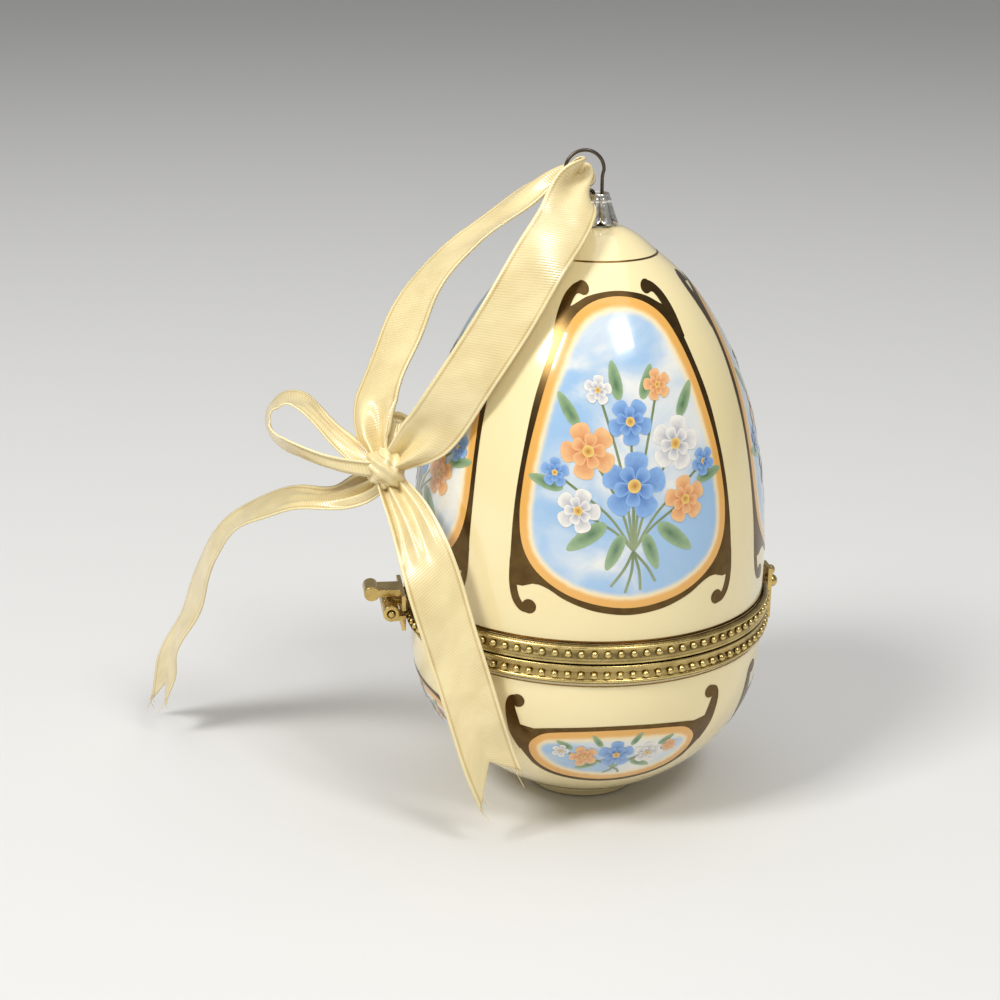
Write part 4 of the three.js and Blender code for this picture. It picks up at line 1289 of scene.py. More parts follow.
LID_MEDALLION = Medallion(
    name="lid_medallion",
    part=Part.LID,
    outline=(
        (0.0, 101.4), (4.4, 100.6), (8.2, 98.2), (11.0, 94.4), (14.0, 88.4), (16.6, 81.4), (18.5, 75.0),
        (19.7, 69.0), (20.2, 64.4), (19.8, 59.6), (18.0, 55.8), (14.8, 52.8), (10.4, 50.4), (5.0, 48.9),
        (0.0, 48.4),
    ),
    frame=(
        (0.0, 102.1), (4.8, 101.4), (8.0, 99.9), (10.2, 98.6), (12.1, 95.1), (14.0, 91.0), (16.8, 84.3),
        (18.9, 76.9), (20.5, 69.7), (21.4, 63.4), (21.8, 58.3), (22.0, 54.6), (21.4, 52.2), (19.9, 51.6),
        (17.2, 52.4), (14.7, 51.7), (12.2, 50.2), (9.2, 48.9), (5.4, 47.8), (0.0, 47.2),
    ),
    scrolls=(
        ((12.4, 94.0, 0.9), (10.6, 97.8, 1.7), (9.0, 100.6, 1.6), (7.4, 102.2, 1.4), (5.9, 102.5, 2.2)),
        ((21.5, 56.5, 1.0), (21.4, 52.4, 1.4), (20.8, 49.4, 1.5), (19.6, 47.8, 1.6), (18.2, 48.0, 2.7)),
    ),
    spray=LID_SPRAY,
    azimuth=2.4,
)
BASE_MEDALLION = Medallion(
    name="base_medallion",
    part=Part.BASE,
    outline=(
        (0.0, 24.6), (7.4, 24.2), (12.9, 23.4), (15.2, 22.0), (16.3, 20.0), (15.7, 17.4), (13.6, 14.8),
        (10.2, 12.7), (5.2, 11.3), (0.0, 10.8),
    ),
    frame=(
        (0.0, 25.4), (7.0, 25.1), (12.6, 24.5), (16.4, 23.9), (18.6, 24.4), (19.6, 22.4), (18.4, 19.6),
        (16.4, 16.8), (14.2, 14.3), (10.6, 12.1), (5.4, 10.6), (0.0, 10.1),
    ),
    scrolls=(
        (
            (17.2, 18.8, 1.6), (18.9, 22.4, 2.6), (19.9, 25.6, 2.4),
            (20.4, 28.0, 1.9), (20.1, 29.4, 1.7), (18.9, 29.4, 2.6),
        ),
    ),
    spray=BASE_SPRAY,
    azimuth=0.6,
)


@dataclass
class GoldRings:
    """The thin gold lines that run right round the porcelain, as body, height and width."""

    lines: tuple[tuple[Part, float, float], ...] = (
        (Part.LID, 106.3, 0.24),
        (Part.LID, 41.98, 0.5),
        (Part.BASE, 33.5, 0.22),
        (Part.BASE, 4.4, 0.6),
    )
    lift: float = 0.05
    segments: int = 144

    def build(self, shop: Workshop, skin: EggSkin) -> None:
        """Draws each line.

        Args:
            shop: Makes the pieces.
            skin: Where the porcelain's surface is.
        """
        for k, (part, height, width) in enumerate(self.lines):
            points = []
            for i in range(self.segments):
                for share in EDGES_AND_MIDDLE:
                    z = height + share * width
                    points.append(skin.place(360 * i / self.segments, 0.0, z, self.lift))
            faces = grid_faces(self.segments, len(EDGES_AND_MIDDLE), True)
            shop.piece(f"gold_ring_{k + 1}", points, faces, part, GOLD_LINE, "porcelain")


@dataclass
class BeadedRim:
    """One pressed brass rim: a lip at the seam, a row of beads, a rounded band and a thin lip.

    Each row of the lip is how far it stands past the outer radius and the seam's gap, and its painted shade.
    The band is its middle's offset from the seam, its half height and how far it swells. Its dark is the
    shade in the groove past the shade on its crest, and a bead's is the shade at its foot and its fall.
    """

    side: Side
    seam: float
    seam_gap: float = 0.15
    inner: float = 34.2
    outer: float = 34.9
    height: float = 3.55
    groove: float = 0.12
    # The last number in each lip row is painted shade, lightest on the lip's crest.
    lip: tuple[Row, ...] = (
        (-0.1, 0.0, 0.7), (0.12, 0.08, 0.3), (0.18, 0.24, 0.15), (0.08, 0.5, 0.35),
        (0.02, 0.85, 0.45), (0.06, 1.15, 0.4), (-0.12, 1.28, 0.5),
    )
    band: Row = (3.16, 0.36, 0.42)
    band_dark: Pair = (0.55, 0.05)
    band_steps: int = 8
    band_end: Pair = (0.04, 3.56)
    chamfer: float = 0.1
    bead_offset: float = 2.05
    bead_room: float = 0.72
    bead_radius: float = 0.68
    bead_rings: int = 5
    bead_sides: int = 10
    bead_top: float = 4.2
    bead_dark: Pair = (0.7, 1.6)
    beads: int = 92
    seat: float = 1.9
    seat_width: float = 3.6
    seat_thickness: float = 0.4
    segments: int = 176

    def build(self, shop: Workshop) -> None:
        """Makes the turned band and sets the beads on it.

        Args:
            shop: Makes the piece.
        """
        section = self._section()
        profile = [(radius, self._at(offset)) for radius, offset, _ in section]
        # Painted shade for each corner: dark in the grooves, on the inner faces and at the beads' feet.
        recess_shade = [dark for _, _, dark in section] * self.segments
        points, faces = turned(profile, self.segments)
        for turn in turns(self.beads):
            recess_shade += self._bead(points, faces, turn)
        part = Part.LID if self.side is Side.UPPER else Part.BASE
        name, tints = f"beaded_{part.value}_rim", {"recess_shade": recess_shade}
        made = shop.piece(name, points, faces, part, ANTIQUE_BRASS, "brass", tints)
        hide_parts(f"{part.value}_rim")

    def _at(self, offset: float) -> float:
        """Returns the height of an offset from the seam."""
        return self.seam + self.side.value * offset

    def _section(self) -> list[Row]:
        """Draws the rim's section.

        Returns:
            Radius, offset from the seam and how much painted shade it gets, for each corner.
        """
        low, top = self.seam_gap, self.seam_gap + self.height
        groove = self.outer - self.groove
        middle, half, swell = self.band
        section = [(self.inner, low, 0.7)]
        section += [(self.outer + out, low + up, dark) for out, up, dark in self.lip]
        section.append((groove, self.bead_offset + self.bead_room, 0.5))
        for k in range(self.band_steps + 1):
            t = math.pi * k / self.band_steps
            dark = self.band_dark[0] * (1 - math.sin(t)) + self.band_dark[1]
            section.append((groove + swell * math.sin(t), middle - half * math.cos(t), dark))
        return section + [
            (groove + self.band_end[0], self.band_end[1], 0.8),
            (self.outer, top - self.chamfer, 0.6),
            (self.outer - self.chamfer, top, 0.7),
            (self.inner, top, 0.8),
            (self.inner, self.seat, 0.8),
            (self.inner - self.seat_width, self.seat, 0.4),
            (self.inner - self.seat_width, self.seat - self.seat_thickness, 0.2),
            (self.inner, self.seat - self.seat_thickness, 0.4),
        ]

    def _bead(self, points: list[Vector], faces: list[Face], turn: float) -> list[float]:
        """Adds one bead.

        Args:
            points: The rim's points so far.
            faces: The rim's faces so far.
            turn: Where it sits round the rim, in radians.

        Returns:
            How much painted shade each of its points gets.
        """
        out = around(1.0, turn, 0.0)
        along = Vector((math.cos(turn), math.sin(turn), 0.0))
        centre = out * self.outer + Vector((0.0, 0.0, self._at(self.bead_offset)))
        start, sides, recess_shade = len(points), self.bead_sides, []
        for ring in range(self.bead_rings):
            # The last ring stops a little short of the top and is closed with a face.
            lean = math.pi / 2 * ring / self.bead_top
            for t in turns(sides):
                flat = along * math.cos(t) + Vector((0.0, 0.0, math.sin(t)))
                points.append(centre + (flat * math.cos(lean) + out * math.sin(lean)) * self.bead_radius)
                # Painted shade: darkest at the bead's foot, fading out towards its top.
                recess_shade.append(max(0.0, self.bead_dark[0] - self.bead_dark[1] * math.sin(lean)))
        faces += shifted(grid_faces(self.bead_rings, sides, False, True), start)
        faces.append(tuple(range(len(points) - sides, len(points))))
        return recess_shade


@dataclass
class Crown:
    """The silver ornament cap with pleated sides, and the wire ring that hangs from it.

    Each turned ring is its share of the cap's height, its half width there and how far it swells.
    The engraving runs in slanting rows over the middle of each pleat. A pleat's foot is how fast its fold
    grows and where it starts, and a valley's dark is its depth of shade and how fast that thins out.
    """

    bottom: float = 111.4
    height: float = 5.5
    bottom_radius: float = 3.9
    top_radius: float = 2.1
    taper: float = 1.2
    rows: int = 22
    pleats: int = 8
    pleat_sides: int = 16
    pleat_depth: float = 0.75
    pleat_swell: float = 1.15
    pleat_round: float = 0.7
    pleat_foot: Pair = (5.0, 0.6)
    valley_dark: Pair = (0.95, 1.4)
    valley_fade: float = 0.3
    scallop: float = 0.95
    rings: tuple[Row, ...] = ((0.8, 0.05, 0.16), (0.7, 0.04, -0.1))
    engraved_rows: float = 26.0
    engraved_slant: float = 9.0
    engraved_level: float = 0.4
    engraved_across: Pair = (0.25, 0.93)
    engraved_top: float = 0.66
    engraved_dark: float = 0.5
    bore: float = 1.85
    sheet: float = 0.12
    sunk: float = 0.3
    pinhole: float = 0.05
    hem: float = 0.2
    wire: float = 0.33
    wire_sides: int = 12
    loop: Pair = (-2.6, 121.1)
    loop_radius: float = 3.6
    loop_start: float = -22.0
    loop_sweep: float = 300.0
    loop_points: int = 13
    leg: float = 0.75
    leg_drop: float = 1.0
    leg_bends: Pair = (0.5, 0.2)
    wire_spans: int = 8

    def build(self, shop: Workshop) -> None:
        """Makes the cap and the wire."""
        self._cap(shop)
        self._ring(shop)

    def _cap(self, shop: Workshop) -> None:
        """Makes the pleated cap with its scalloped lower edge.

        Args:
            shop: Makes the piece.
        """
        sides = self.pleats * self.pleat_sides
        points, recess_shade = [], []
        for i in range(self.rows + 1):
            t = i / self.rows
            radius = self.top_radius + (self.bottom_radius - self.top_radius) * (1 - t) ** self.taper
            fold = self.pleat_depth * math.sqrt(1 - t) * min(1.0, self.pleat_foot[0] * t + self.pleat_foot[1])
            ring = sum(swell * math.exp(-(((t - at) / half) ** 2)) for at, half, swell in self.rings)
            for turn in turns(sides):
                wave = abs(math.sin(self.pleats * turn / 2)) ** self.pleat_round
                reach = max(self.bore + self.sheet, radius - fold + self.pleat_swell * fold * wave + ring)
                drop = self.scallop * (1 - t) ** 3 * (1 - wave)
                points.append(around(reach, turn, self.bottom + self.height * t + drop))
                # Painted shade in the pleats' valleys, with the engraved lines, fading towards the top.
                valley = self.valley_dark[0] - self.valley_dark[1] * wave
                recess_shade.append(max(self._engraved(t, wave), valley) * (1 - t) ** self.valley_fade)
        top = self.bottom + self.height
        # Painted shade on the bore's faces, darkest deep inside.
        inside = (
            (self.bore, top, 0.2),
            (self.bore, top - self.sunk, 0.7),
            (self.pinhole, top - self.sunk, 0.35),
            (self.pinhole, top - 2 * self.sunk, 1.0),
            (self.bore, top - 2 * self.sunk, 1.0),
            (self.bore, self.bottom + self.hem, 1.0),
        )
        for radius, z, dark in inside:
            points += [around(radius, turn, z) for turn in turns(sides)]
            recess_shade += [dark] * sides
        faces = grid_faces(self.rows + 1 + len(inside), sides, True, True)
        tints = {"recess_shade": recess_shade}
        made = shop.piece("pleated_crown", points, faces, Part.LID, SILVER_PLATE, "silver", tints)
        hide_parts("hanger_cap")

    def _engraved(self, t: float, wave: float) -> float:
        """Finds how dark the engraving is.

        Args:
            t: The share of the cap's height.
            wave: How far the pleat stands out, from 0 to 1.

        Returns:
            The depth of shade, or 0 between the cuts.
        """
        near, far = self.engraved_across
        cut = math.sin(self.engraved_rows * t + self.engraved_slant * wave) > self.engraved_level
        return self.engraved_dark if cut and near < wave < far and t < self.engraved_top else 0.0

    def _ring(self, shop: Workshop) -> None:
        """Bends the wire: up from one side of the cap, round, and back down.

        Args:
            shop: Makes the piece.
        """
        cx, cz = self.loop
        low, top = self.bottom + self.leg_drop, self.bottom + self.height
        rows: list[Row] = [(self.leg, 0.0, low), (self.leg, 0.0, top - self.leg_bends[0])]
        for k in range(self.loop_points):
            turn = math.radians(self.loop_start + self.loop_sweep * k / (self.loop_points - 1))
            rows.append((cx + self.loop_radius * math.cos(turn), 0.0, cz + self.loop_radius * math.sin(turn)))
        rows += [(-self.leg, 0.0, top - self.leg_bends[1]), (-self.leg, 0.0, low)]
        line = [Vector(row) for row in spline(rows, self.wire_spans)]
        across = Vector((0.0, 1.0, 0.0))
        sides, points = self.wire_sides, []
        for i, centre in enumerate(line):
            way = (line[min(i + 1, len(line) - 1)] - line[max(i - 1, 0)]).normalized()
            points += hoop(centre, across.cross(way), across, self.wire, sides)
        faces = grid_faces(len(line), sides, False, True)
        faces += [tuple(range(sides - 1, -1, -1)), tuple(range(len(points) - sides, len(points)))]
        made = shop.piece("hanger_wire", points, faces, Part.LID, DARK_WIRE, "wire")
        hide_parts("hanger_loop")


@dataclass(frozen=True)
class Strip:
    """One length of ribbon along a route of place, width and twist.

    A cut gives how far the free end's near corner, notch and far corner reach past the route.
    """

    node: str
    held: Held
    rows: tuple[Row, ...]
    cut: Row = ()
    pleats: float = 2.5
    rests_on: str = "knot_of_ribbon"

    def label(self, start: str) -> str:
        """Returns a piece's name from its first word."""
        return f"{start}_{self.node.removeprefix('ribbon_')}"


@dataclass(frozen=True)
class Section:
    """The ribbon's place, directions, width and run at one point of its route."""

    centre: Vector
    way: Vector
    side: Vector
    face: Vector
    width: float
    run: float


@dataclass
class RibbonBow:
    """The satin bow: a long loop through the ring, the knot, its loops and two tails.

    Cup, sway and flutter are how far the cloth bends, the pitch of each along the ribbon, and where the
    cup starts or how the sway leans across.
    Folds of the knot are their depth, their pitch and how they lean from front to back.
    A tuck is the share of the way out of the knot and the share of the width that an end keeps inside it.
    Corners are where the first thread hangs, as a share of the width, and the step to the next.
    Phases turn each thread's lean to the side and to the back and its length, so that no two look alike;
    the last one is where the lengths start.
    """

    strips: tuple[Strip, ...]
    width: float = 10.0
    thickness: float = 0.26
    selvedge: float = 0.16
    selvedge_width: float = 0.45
    cup: Row = (1.3, 0.08, 0.6)
    sway: Row = (0.4, 0.22, 2.4)
    flutter: Pair = (0.5, 0.33)
    pleat_start: float = 0.4
    spans: int = 10
    cut_run: float = 22.0
    tuck: Pair = (0.4, 0.7)
    facing: Row = (0.2, 0.93, -0.3)
    knot: Row = (-40.2, -11.5, 68.6)
    knot_size: Row = (3.9, 3.5, 4.4)
    knot_rows: int = 56
    knot_sides: int = 88
    knot_pole: float = 0.02
    knot_lean: Pair = (0.55, 0.83)
    knot_reach: Pair = (0.84, 0.17)
    knot_weave: Pair = (14.0, 8.0)
    band: float = 0.36
    band_folds: Row = (0.06, 15.0, 1.2)
    roll_folds: Row = (0.07, 9.0, 2.5)
    ring: Row = (Crown.loop[0], 0.0, Crown.loop[1])
    keep: float = 0.46
    columns: int = 28
    thread: float = 0.08
    threads: int = 9
    near_threads: int = 6
    near_corner: Pair = (-0.48, 0.028)
    far_corner: Pair = (0.47, -0.04)
    thread_root: float = 0.4
    thread_lean: Pair = (0.35, 0.4)
    thread_length: Pair = (2.6, 1.2)
    thread_phases: Row = (2.7, 1.9, 1.7, 0.5)
    thread_floor: float = 0.2
    thread_taper: float = 0.5
    thread_steps: int = 7
    thread_sides: int = 6

    def build(self, shop: Workshop) -> None:
        """Makes each strip and the knot, and gives each piece its own mesh.

        Args:
            shop: Makes the pieces.
        """
        for strip in self.strips:
            sections = self._sections(strip)
            made = self._strip(shop, strip, sections)
            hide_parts(strip.node)
            ends = [self._fray(shop, strip, sections[-1])] if strip.cut else []
            for piece in (made, *ends):
                self._sink(piece)
        knot = self._knot(shop)
        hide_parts("ribbon_knot")
        self._sink(knot)

    def _sink(self, made: bpy.types.Object) -> None:
        """Gives a piece its own copy of its mesh."""
        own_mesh(made)

    def _tuck(self, row: Row) -> Row:
        """Returns a narrower row that takes a strip's end into the knot."""
        place = [k + (v - k) * self.tuck[0] for k, v in zip(self.knot, row)]
        return (*place, row[3] * self.tuck[1], row[4])

    def _sections(self, strip: Strip) -> list[Section]:
        """Walks a strip's route.

        Args:
            strip: The route and how it ends.

        Returns:
            The ribbon's sections from its start to its end.
        """
        rows = [self._tuck(strip.rows[0]), *strip.rows]
        if not strip.cut:
            rows.append(self._tuck(strip.rows[-1]))
        line = spline(rows, self.spans)
        places = [Vector(row[:3]) for row in line]
        sections, run = [], 0.0
        for i, (centre, row) in enumerate(zip(places, line)):
            run += (centre - places[i - 1]).length if i else 0.0
            way = (places[min(i + 1, len(line) - 1)] - places[max(i - 1, 0)]).normalized()
            side = way.cross(Vector(self.facing)).normalized()
            side.rotate(Matrix.Rotation(math.radians(row[4]), 3, way))
            sections.append(Section(centre, way, side, side.cross(way), row[3], run))
        return sections

    def _strip(self, shop: Workshop, strip: Strip, sections: list[Section]) -> bpy.types.Object:
        """Lofts one strip: pleated where it is drawn together, with firm edges.

        Args:
            shop: Makes the piece.
            strip: How it is pleated and cut.
            sections: Its route.

        Returns:
            The new object.
        """
        front, back, along, across = [], [], [], []
        for section in sections:
            left = sections[-1].run - section.run
            for k in range(self.columns + 1):
                share = k / self.columns - 0.5
                point, half = self._spot(strip, section, share, left)
                front.append(point + section.face * half)
                back.append(point - section.face * half)
                along.append(section.run)
                across.append(share * self.width)
        count, size = self.columns + 1, len(sections)
        shift = size * count
        faces = grid_faces(size, count)
        faces += shifted(flipped(faces), shift)
        # The rim runs along one selvedge, across the far end, back along the other and across the start.
        edge = [i * count for i in range(size)] + [shift - count + k for k in range(1, count)]
        edge += [i * count + count - 1 for i in range(size - 2, -1, -1)] + list(range(count - 2, 0, -1))
        faces += [(a, b, shift + b, shift + a) for a, b in zip(edge, edge[1:] + edge[:1])]
        tints = {"along": along * 2, "across": across * 2}
        return shop.piece(strip.label("satin"), front + back, faces, Part.RIBBON, Satin(), "satin", tints)

    def _spot(self, strip: Strip, section: Section, share: float, left: float) -> tuple[Vector, float]:
        """One point across a strip.

        Args:
            strip: How it is pleated and cut.
            section: Where it is on the route.
            share: Its place across, from -0.5 to 0.5.
            left: How much of the route is left.

        Returns:
            The point in the middle of the cloth and half the cloth's thickness there.
        """
        run, fold = section.run, 0.0
        if section.width < self.width:
            # The cloth keeps its full width, so what is drawn together stands up in pleats.
            fold = section.width / (4 * strip.pleats) * math.sqrt((self.width / section.width) ** 2 - 1)
        wave = fold * math.sin(2 * math.pi * strip.pleats * share + self.pleat_start)
        cup = self.cup[0] * (0.25 - share * share) * math.sin(run * self.cup[1] + self.cup[2])
        sway = self.sway[0] * math.sin(run * self.sway[1] + self.sway[2] * share)
        sway += self.flutter[0] * share * math.sin(run * self.flutter[1])
        firm = math.exp(-(((0.5 - abs(share)) * self.width / self.selvedge_width) ** 2))
        point = section.centre + section.side * (share * section.width) + section.face * (wave + cup + sway)
        if strip.cut:
            point += section.way * (self._reach(strip, share) * max(0.0, 1 - left / self.cut_run))
        return point, (self.thickness + self.selvedge * firm) / 2

    def _reach(self, strip: Strip, share: float) -> float:
        """Returns how far the cut end reaches past the route at a place across."""
        near, notch, far = strip.cut
        return notch + ((near if share < 0 else far) - notch) * 2 * abs(share)

    def _fray(self, shop: Workshop, strip: Strip, end: Section) -> bpy.types.Object:
        """Lets loose threads hang from a cut end; they are drawn twice as thick as real ones to show.

        Args:
            shop: Makes the piece.
            strip: How it is cut.
            end: The last section of its route.

        Returns:
            The new object.
        """
        points, faces = [], []
        aside, back, stretch, start = self.thread_phases
        for n in range(self.threads):
            corner, step = self.near_corner if n < self.near_threads else self.far_corner
            share = corner + step * (n if n < self.near_threads else n - self.near_threads)
            past = self._reach(strip, share) - self.thread_root
            root = end.centre + end.side * (share * end.width) + end.way * past
            lean = end.side * (self.thread_lean[0] * math.sin(aside * n))
            lean += end.face * (self.thread_lean[1] * math.cos(back * n))
            length = self.thread_length[0] + self.thread_length[1] * math.sin(stretch * n + start)
            faces += shifted(grid_faces(self.thread_steps, self.thread_sides, False, True), len(points))
            for i in range(self.thread_steps):
                t = i / (self.thread_steps - 1)
                spot = root + end.way * (length * t) + lean * (length * t * t)
                spot.z = max(spot.z, self.thread_floor)
                thick = self.thread * (1 - self.thread_taper * t)
                points += hoop(spot, end.side, end.face, thick, self.thread_sides)
        tints = {"along": [0.0] * len(points), "across": [0.0] * len(points)}
        return shop.piece(strip.label("frayed"), points, faces, Part.RIBBON, Satin(), "satin", tints)

    def _knot(self, shop: Workshop) -> bpy.types.Object:
        """Makes the drawn-up knot: two rolls of cloth crossed by a band, with diagonal folds.

        Args:
            shop: Makes the piece.

        Returns:
            The new object.
        """
        rows, sides = self.knot_rows, self.knot_sides
        right, up = self.knot_lean
        points, along, across = [], [], []
        for i in range(rows + 1):
            # The first and last rows stay a little off the poles, so that they close with a face.
            lean = math.pi * (i + self.knot_pole) / (rows + 2 * self.knot_pole)
            for turn in turns(sides):
                flat = math.sin(lean)
                way = Vector((flat * math.cos(turn), flat * math.sin(turn), math.cos(lean)))
                slant, cross = right * way.x + up * way.z, up * way.x - right * way.z
                band = math.exp(-((slant / self.band) ** 4))
                fold = self._crease(self.band_folds, slant, way.y) * band
                fold += self._crease(self.roll_folds, cross, way.y) * (1 - band)
                reach = self.knot_reach[0] + self.knot_reach[1] * band + fold
                points.append(Vector(self.knot) + Vector(w * s * reach for w, s in zip(way, self.knot_size)))
                along.append(self.knot_weave[0] * cross)
                across.append(self.knot_weave[1] * slant)
        faces = flipped(grid_faces(rows + 1, sides, False, True))
        faces += [tuple(range(sides)), tuple(range(len(points) - 1, len(points) - sides - 1, -1))]
        tints = {"along": along, "across": across}
        return shop.piece("knot_of_ribbon", points, faces, Part.RIBBON, Satin(), "satin", tints)

    def _crease(self, folds: Row, place: float, back: float) -> float:
        """Returns how far the knot's folds stand out at a place."""
        depth, pitch, lean = folds
        return depth * math.sin(pitch * place + lean * back)


LOOP = Strip(
    "ribbon_loop",
    Held.HUNG,
    (
        (-37.2, -13.0, 71.6, 6.0, 0.0), (-34.4, -14.8, 74.6, 9.0, 0.0), (-31.2, -16.4, 78.4, 10.0, 0.0),
        (-25.7, -18.4, 87.8, 10.0, 0.0), (-19.6, -18.8, 97.7, 10.0, 0.0), (-13.4, -15.8, 107.2, 10.0, 0.0),
        (-8.0, -10.5, 113.7, 10.0, 10.0), (-4.8, -5.2, 118.7, 9.3, 30.0), (-2.6, -0.2, 121.0, 4.6, 50.0),
        (-5.8, 3.8, 119.5, 6.8, 55.0), (-12.4, 5.4, 115.4, 9.6, 60.0), (-23.2, 4.6, 107.9, 10.0, 58.0),
        (-31.7, 2.6, 99.0, 10.0, 48.0), (-37.4, 0.2, 88.3, 10.0, 38.0), (-41.0, -2.8, 79.4, 10.0, 30.0),
        (-41.9, -6.4, 74.4, 7.0, 10.0), (-41.6, -8.0, 72.0, 5.0, 0.0),
    ),
    pleats=1.6,
    rests_on="hanger_wire",
)
BOW_LEFT = Strip(
    "ribbon_bow_left",
    Held.FOLDED,
    (
        (-44.0, -11.0, 70.6, 4.5, 80.0), (-48.4, -7.2, 74.0, 8.0, 75.0), (-54.4, -1.8, 78.5, 10.0, 74.0),
        (-57.8, 0.3, 78.7, 10.0, 74.0), (-60.0, 1.2, 77.2, 10.0, 79.0), (-60.9, 1.0, 74.8, 10.0, 80.0),
        (-60.0, -0.4, 72.4, 10.0, 79.0), (-57.2, -3.2, 70.8, 10.0, 76.0), (-51.0, -8.2, 69.6, 8.0, 80.0),
        (-44.4, -11.6, 69.2, 4.5, 80.0),
    ),
)
BOW_RIGHT = Strip(
    "ribbon_bow_right",
    Held.FOLDED,
    (
        (-37.6, -8.6, 69.8, 4.0, 60.0), (-36.6, -6.2, 72.6, 6.0, 60.0), (-36.9, -4.4, 75.0, 6.0, 60.0),
        (-38.2, -4.2, 75.2, 6.0, 60.0), (-38.6, -5.6, 72.8, 6.0, 60.0), (-38.9, -7.4, 70.6, 4.0, 60.0),
    ),
)
TAIL_LEFT = Strip(
    "ribbon_tail_left",
    Held.HUNG,
    (
        (-43.2, -10.4, 65.2, 4.5, 30.0), (-49.9, -5.6, 61.8, 8.0, 60.0), (-58.1, 1.1, 58.9, 10.0, 66.0),
        (-65.6, 7.8, 54.2, 10.0, 66.0), (-71.2, 13.8, 46.1, 10.0, 60.0), (-75.3, 19.7, 34.2, 10.0, 60.0),
        (-80.0, 24.8, 22.0, 10.0, 58.0), (-83.4, 29.0, 10.0, 10.0, 56.0), (-85.0, 31.4, 2.6, 10.0, 56.0),
    ),
    (0.0, -9.0, -7.5),
)
TAIL_RIGHT = Strip(
    "ribbon_tail_right",
    Held.HUNG,
    (
        (-38.95, -13.1, 66.1, 5.0, 0.0), (-36.3, -18.4, 61.6, 8.0, 0.0), (-33.6, -24.0, 54.3, 10.0, 0.0),
        (-30.4, -27.9, 43.1, 10.0, 0.0), (-26.8, -29.6, 31.0, 10.0, 0.0), (-23.3, -30.3, 19.2, 10.0, 0.0),
        (-20.6, -30.2, 11.8, 10.0, 0.0),
    ),
    (2.5, -6.5, -2.5),
)
BOW = RibbonBow((LOOP, BOW_LEFT, BOW_RIGHT, TAIL_LEFT, TAIL_RIGHT))


@dataclass
class CadDressing:
    """Finishes for the solids that stay as they are: hinge, clasp, key and the movement."""

    cast: tuple[str, ...] = ("base_hinge_leaf", "lid_hinge_leaf", "lid_clasp", "clasp_keeper", "winding_key")
    brass: tuple[str, ...] = (
        *cast, "hinge_pin", "stop_tab", "spring_barrel", "movement_spacer_1", "movement_spacer_2",
        "movement_spacer_3", "music_cylinder", "cylinder_pinion", "cylinder_gear", "idler_pinion",
        "worm_wheel",
    )
    plastic: tuple[str, ...] = ("cover_plate", "governor_fan")
    soft_edge: float = 0.12
    cast_edge: float = 0.34
    edge_steps: int = 3
    crease: float = 35.0
    weld: float = 0.001

    def build(self, shop: Workshop) -> None:
        """Gives each solid that still shows a finish, softened edges and smooth rounds.

        Args:
            shop: Keeps the materials.
        """
        for name, node in frame["nodes"].items():
            if node.hide_render:
                continue
            finish = TURNED_BRASS if name in self.brass else MACHINED_STEEL
            finish = MouldedPlastic() if name in self.plastic else finish
            node.data.materials.clear()
            node.data.materials.append(shop.material(finish))
            self._soften(node)
            LOG.info("%s: %s", name, finish.name)

    def _soften(self, node: bpy.types.Object) -> None:
        """Rounds a solid's edges and shades its curves smoothly.

        Args:
            node: The solid.
        """
        stored = node.data.attributes.get("custom_normal")
        if stored is not None:
            node.data.attributes.remove(stored)
        node.data.polygons.foreach_set("use_smooth", [True] * len(node.data.polygons))
        weld = node.modifiers.new("weld", "WELD")
        weld.merge_threshold = self.weld * MM
        bevel = node.modifiers.new("soft_edge", "BEVEL")
        bevel.width = (self.cast_edge if node.name in self.cast else self.soft_edge) * MM
        bevel.segments = self.edge_steps
        bevel.limit_method = "ANGLE"
        bevel.angle_limit = math.radians(self.crease)
        split = node.modifiers.new("crease", "EDGE_SPLIT")
        split.split_angle = math.radians(self.crease)
        flat = node.modifiers.new("flat_faces", "WEIGHTED_NORMAL")
        flat.keep_sharp = True


@dataclass(frozen=True)
class StudioPaper:
    """A roll of coated paper: an even, pale matt with a faint tooth.

    Real tooth is about 0.1 mm across; it is drawn fifteen times coarser to show.
    """

    name: str = "studio_paper"
    colour: str = "#DCDBD8"
    tooth_mm: float = 1.5
    tooth: float = 0.03
    tooth_depth_mm: float = 0.1
    roughness: float = 0.85

    def build(self) -> bpy.types.Material:
        """Builds the paper.

        Returns:
            The material.
        """
        material, tree, shader = blank(self.name)
        place = add_node(tree, "ShaderNodeTexCoord").outputs["Object"]
        toothed = {"Vector": place, "Scale": per_metre(self.tooth_mm)}
        tooth = add_node(tree, "ShaderNodeTexNoise", toothed).outputs[0]
        relief = {"Height": tooth, "Strength": self.tooth, "Distance": self.tooth_depth_mm * MM}
        bump = add_node(tree, "ShaderNodeBump", relief).outputs[0]
        feed(tree, shader, {"Base Color": linear(self.colour), "Normal": bump, "Roughness": self.roughness})
        return material


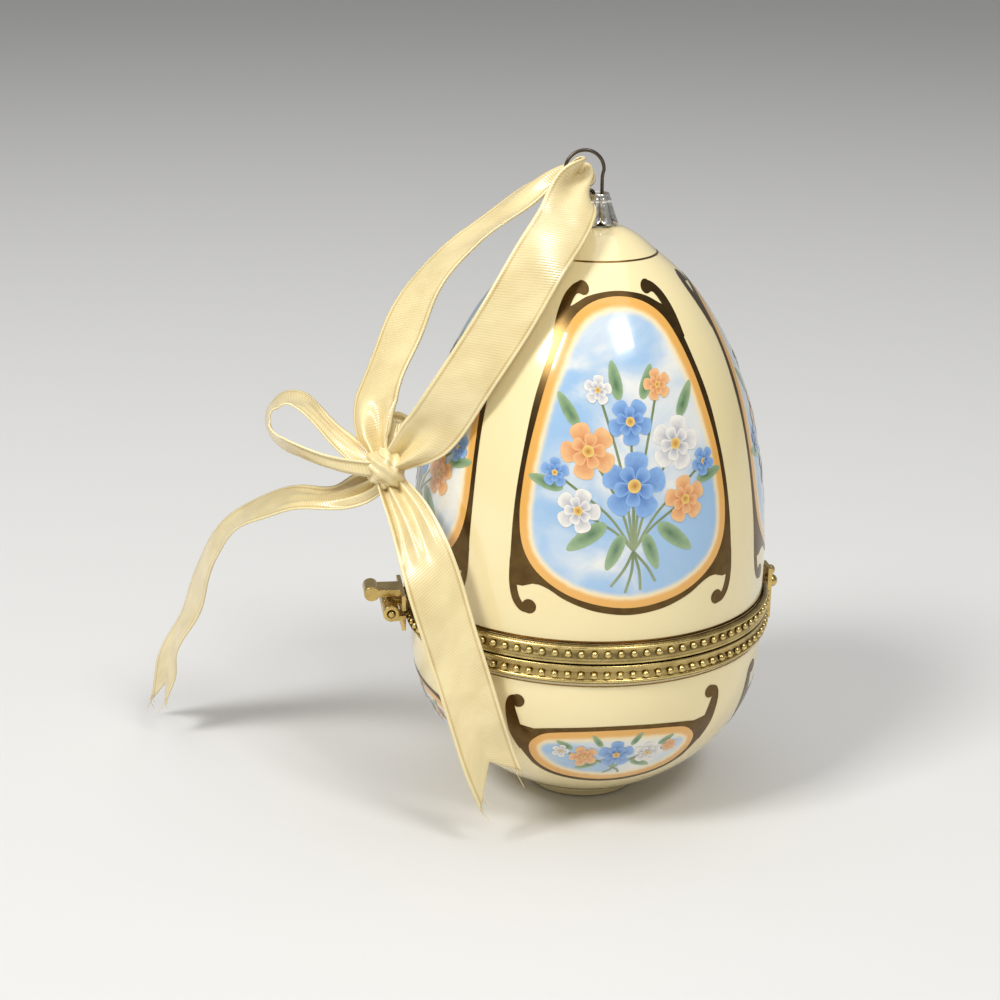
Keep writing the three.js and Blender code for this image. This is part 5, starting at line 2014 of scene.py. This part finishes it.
@dataclass
class Studio:
    """The pale floor, the soft lights and the camera at the photograph's place.

    The camera's distance and height are in millimetres; the floor, in metres, lies just under the foot.
    Each lamp is its name, its place and size in metres, and its power.
    """

    azimuth: float = -11.0
    distance: float = 366.0
    height: float = 177.3
    yaw: float = -2.67
    pitch: float = 18.16
    roll: float = 0.9
    focal_share: float = 2.0
    sensor: float = 36.0
    clip: Pair = (0.01, 10.0)
    floor_radii: Row = (0.5, 2.0, 14.0)
    floor_sides: int = 96
    floor_level: float = -0.0002
    glow: str = "#F2F3F5"
    glow_strength: float = 0.33
    aim: Row = (0.0, 0.0, 0.06)
    lamps: tuple[tuple[str, Row, float, float], ...] = (
        ("window_key", (-0.66, -0.44, 0.87), 0.30, 8.0),
        ("window_fill", (0.285, -0.631, 0.966), 0.26, 4.6),
        ("ceiling", (0.0, 0.1, 1.4), 1.2, 5.0),
    )

    def build(self) -> None:
        """Sets up the camera, floor and lights."""
        bpy.context.scene.view_settings.view_transform = "Standard"
        self._camera()
        self._floor()
        self._lights()

    def _camera(self) -> None:
        """Places the camera and makes it the scene's own."""
        yaw, pitch, roll = (math.radians(v) for v in (self.yaw, self.pitch, self.roll))
        ahead = Vector((math.sin(yaw) * math.cos(pitch), math.cos(yaw) * math.cos(pitch), -math.sin(pitch)))
        right = Vector((math.cos(yaw), -math.sin(yaw), 0.0))
        up = right.cross(ahead)
        level = right * math.cos(roll) + up * math.sin(roll)
        tall = up * math.cos(roll) - right * math.sin(roll)
        turn = Matrix.Rotation(math.radians(self.azimuth), 3, "Z")
        spin = Matrix((turn @ level, turn @ tall, turn @ -ahead)).transposed().to_4x4()
        data = bpy.data.cameras.new("camera")
        data.sensor_width = self.sensor
        data.lens = self.focal_share * self.sensor
        data.clip_start, data.clip_end = self.clip
        camera = bpy.data.objects.new("camera", data)
        place = turn @ Vector((0.0, -self.distance, self.height)) * MM
        camera.matrix_world = Matrix.Translation(place) @ spin
        bpy.context.scene.collection.objects.link(camera)
        bpy.context.scene.camera = camera

    def _floor(self) -> None:
        """Lays a wide pale floor, so that no edge of it shows from any side."""
        mesh = bpy.data.meshes.new("floor")
        sides, points = self.floor_sides, []
        for radius in self.floor_radii:
            points += [(radius * math.cos(t), radius * math.sin(t), self.floor_level) for t in turns(sides)]
        faces = flipped(grid_faces(len(self.floor_radii), sides, False, True))
        mesh.from_pydata(points, [], [tuple(range(sides)), *faces])
        mesh.materials.append(StudioPaper().build())
        floor = bpy.data.objects.new("floor", mesh)
        bpy.context.scene.collection.objects.link(floor)

    def _lights(self) -> None:
        """Hangs the soft lights and fills the shadows from all round."""
        world = bpy.data.worlds.new("room")
        bpy.context.scene.world = world
        world.use_nodes = True
        tree = world.node_tree
        tree.nodes.clear()
        even = {"Color": linear(self.glow), "Strength": self.glow_strength}
        glow = add_node(tree, "ShaderNodeBackground", even).outputs[0]
        add_node(tree, "ShaderNodeOutputWorld", {"Surface": glow})
        for name, place, size, power in self.lamps:
            lamp = bpy.data.lights.new(name, "AREA")
            lamp.size, lamp.energy = size, power
            lit = bpy.data.objects.new(name, lamp)
            lit.location = place
            lit.rotation_euler = (Vector(self.aim) - lit.location).to_track_quat("-Z", "Y").to_euler()
            bpy.context.scene.collection.objects.link(lit)


def main() -> None:
    """Builds every sub-assembly in order."""
    logging.basicConfig(level=logging.INFO, format="%(name)s: %(message)s")
    shop = Workshop()
    form = EggForm()
    skin = EggSkin(form)
    Studio().build()
    PorcelainHalves(form).build(shop)
    GoldRings().build(shop, skin)
    LID_MEDALLION.build(shop, skin)
    BASE_MEDALLION.build(shop, skin)
    for side in Side:
        BeadedRim(side, form.seam).build(shop)
    Crown().build(shop)
    BOW.build(shop)
    CadDressing().build(shop)


if __name__ == "__main__":
    main()
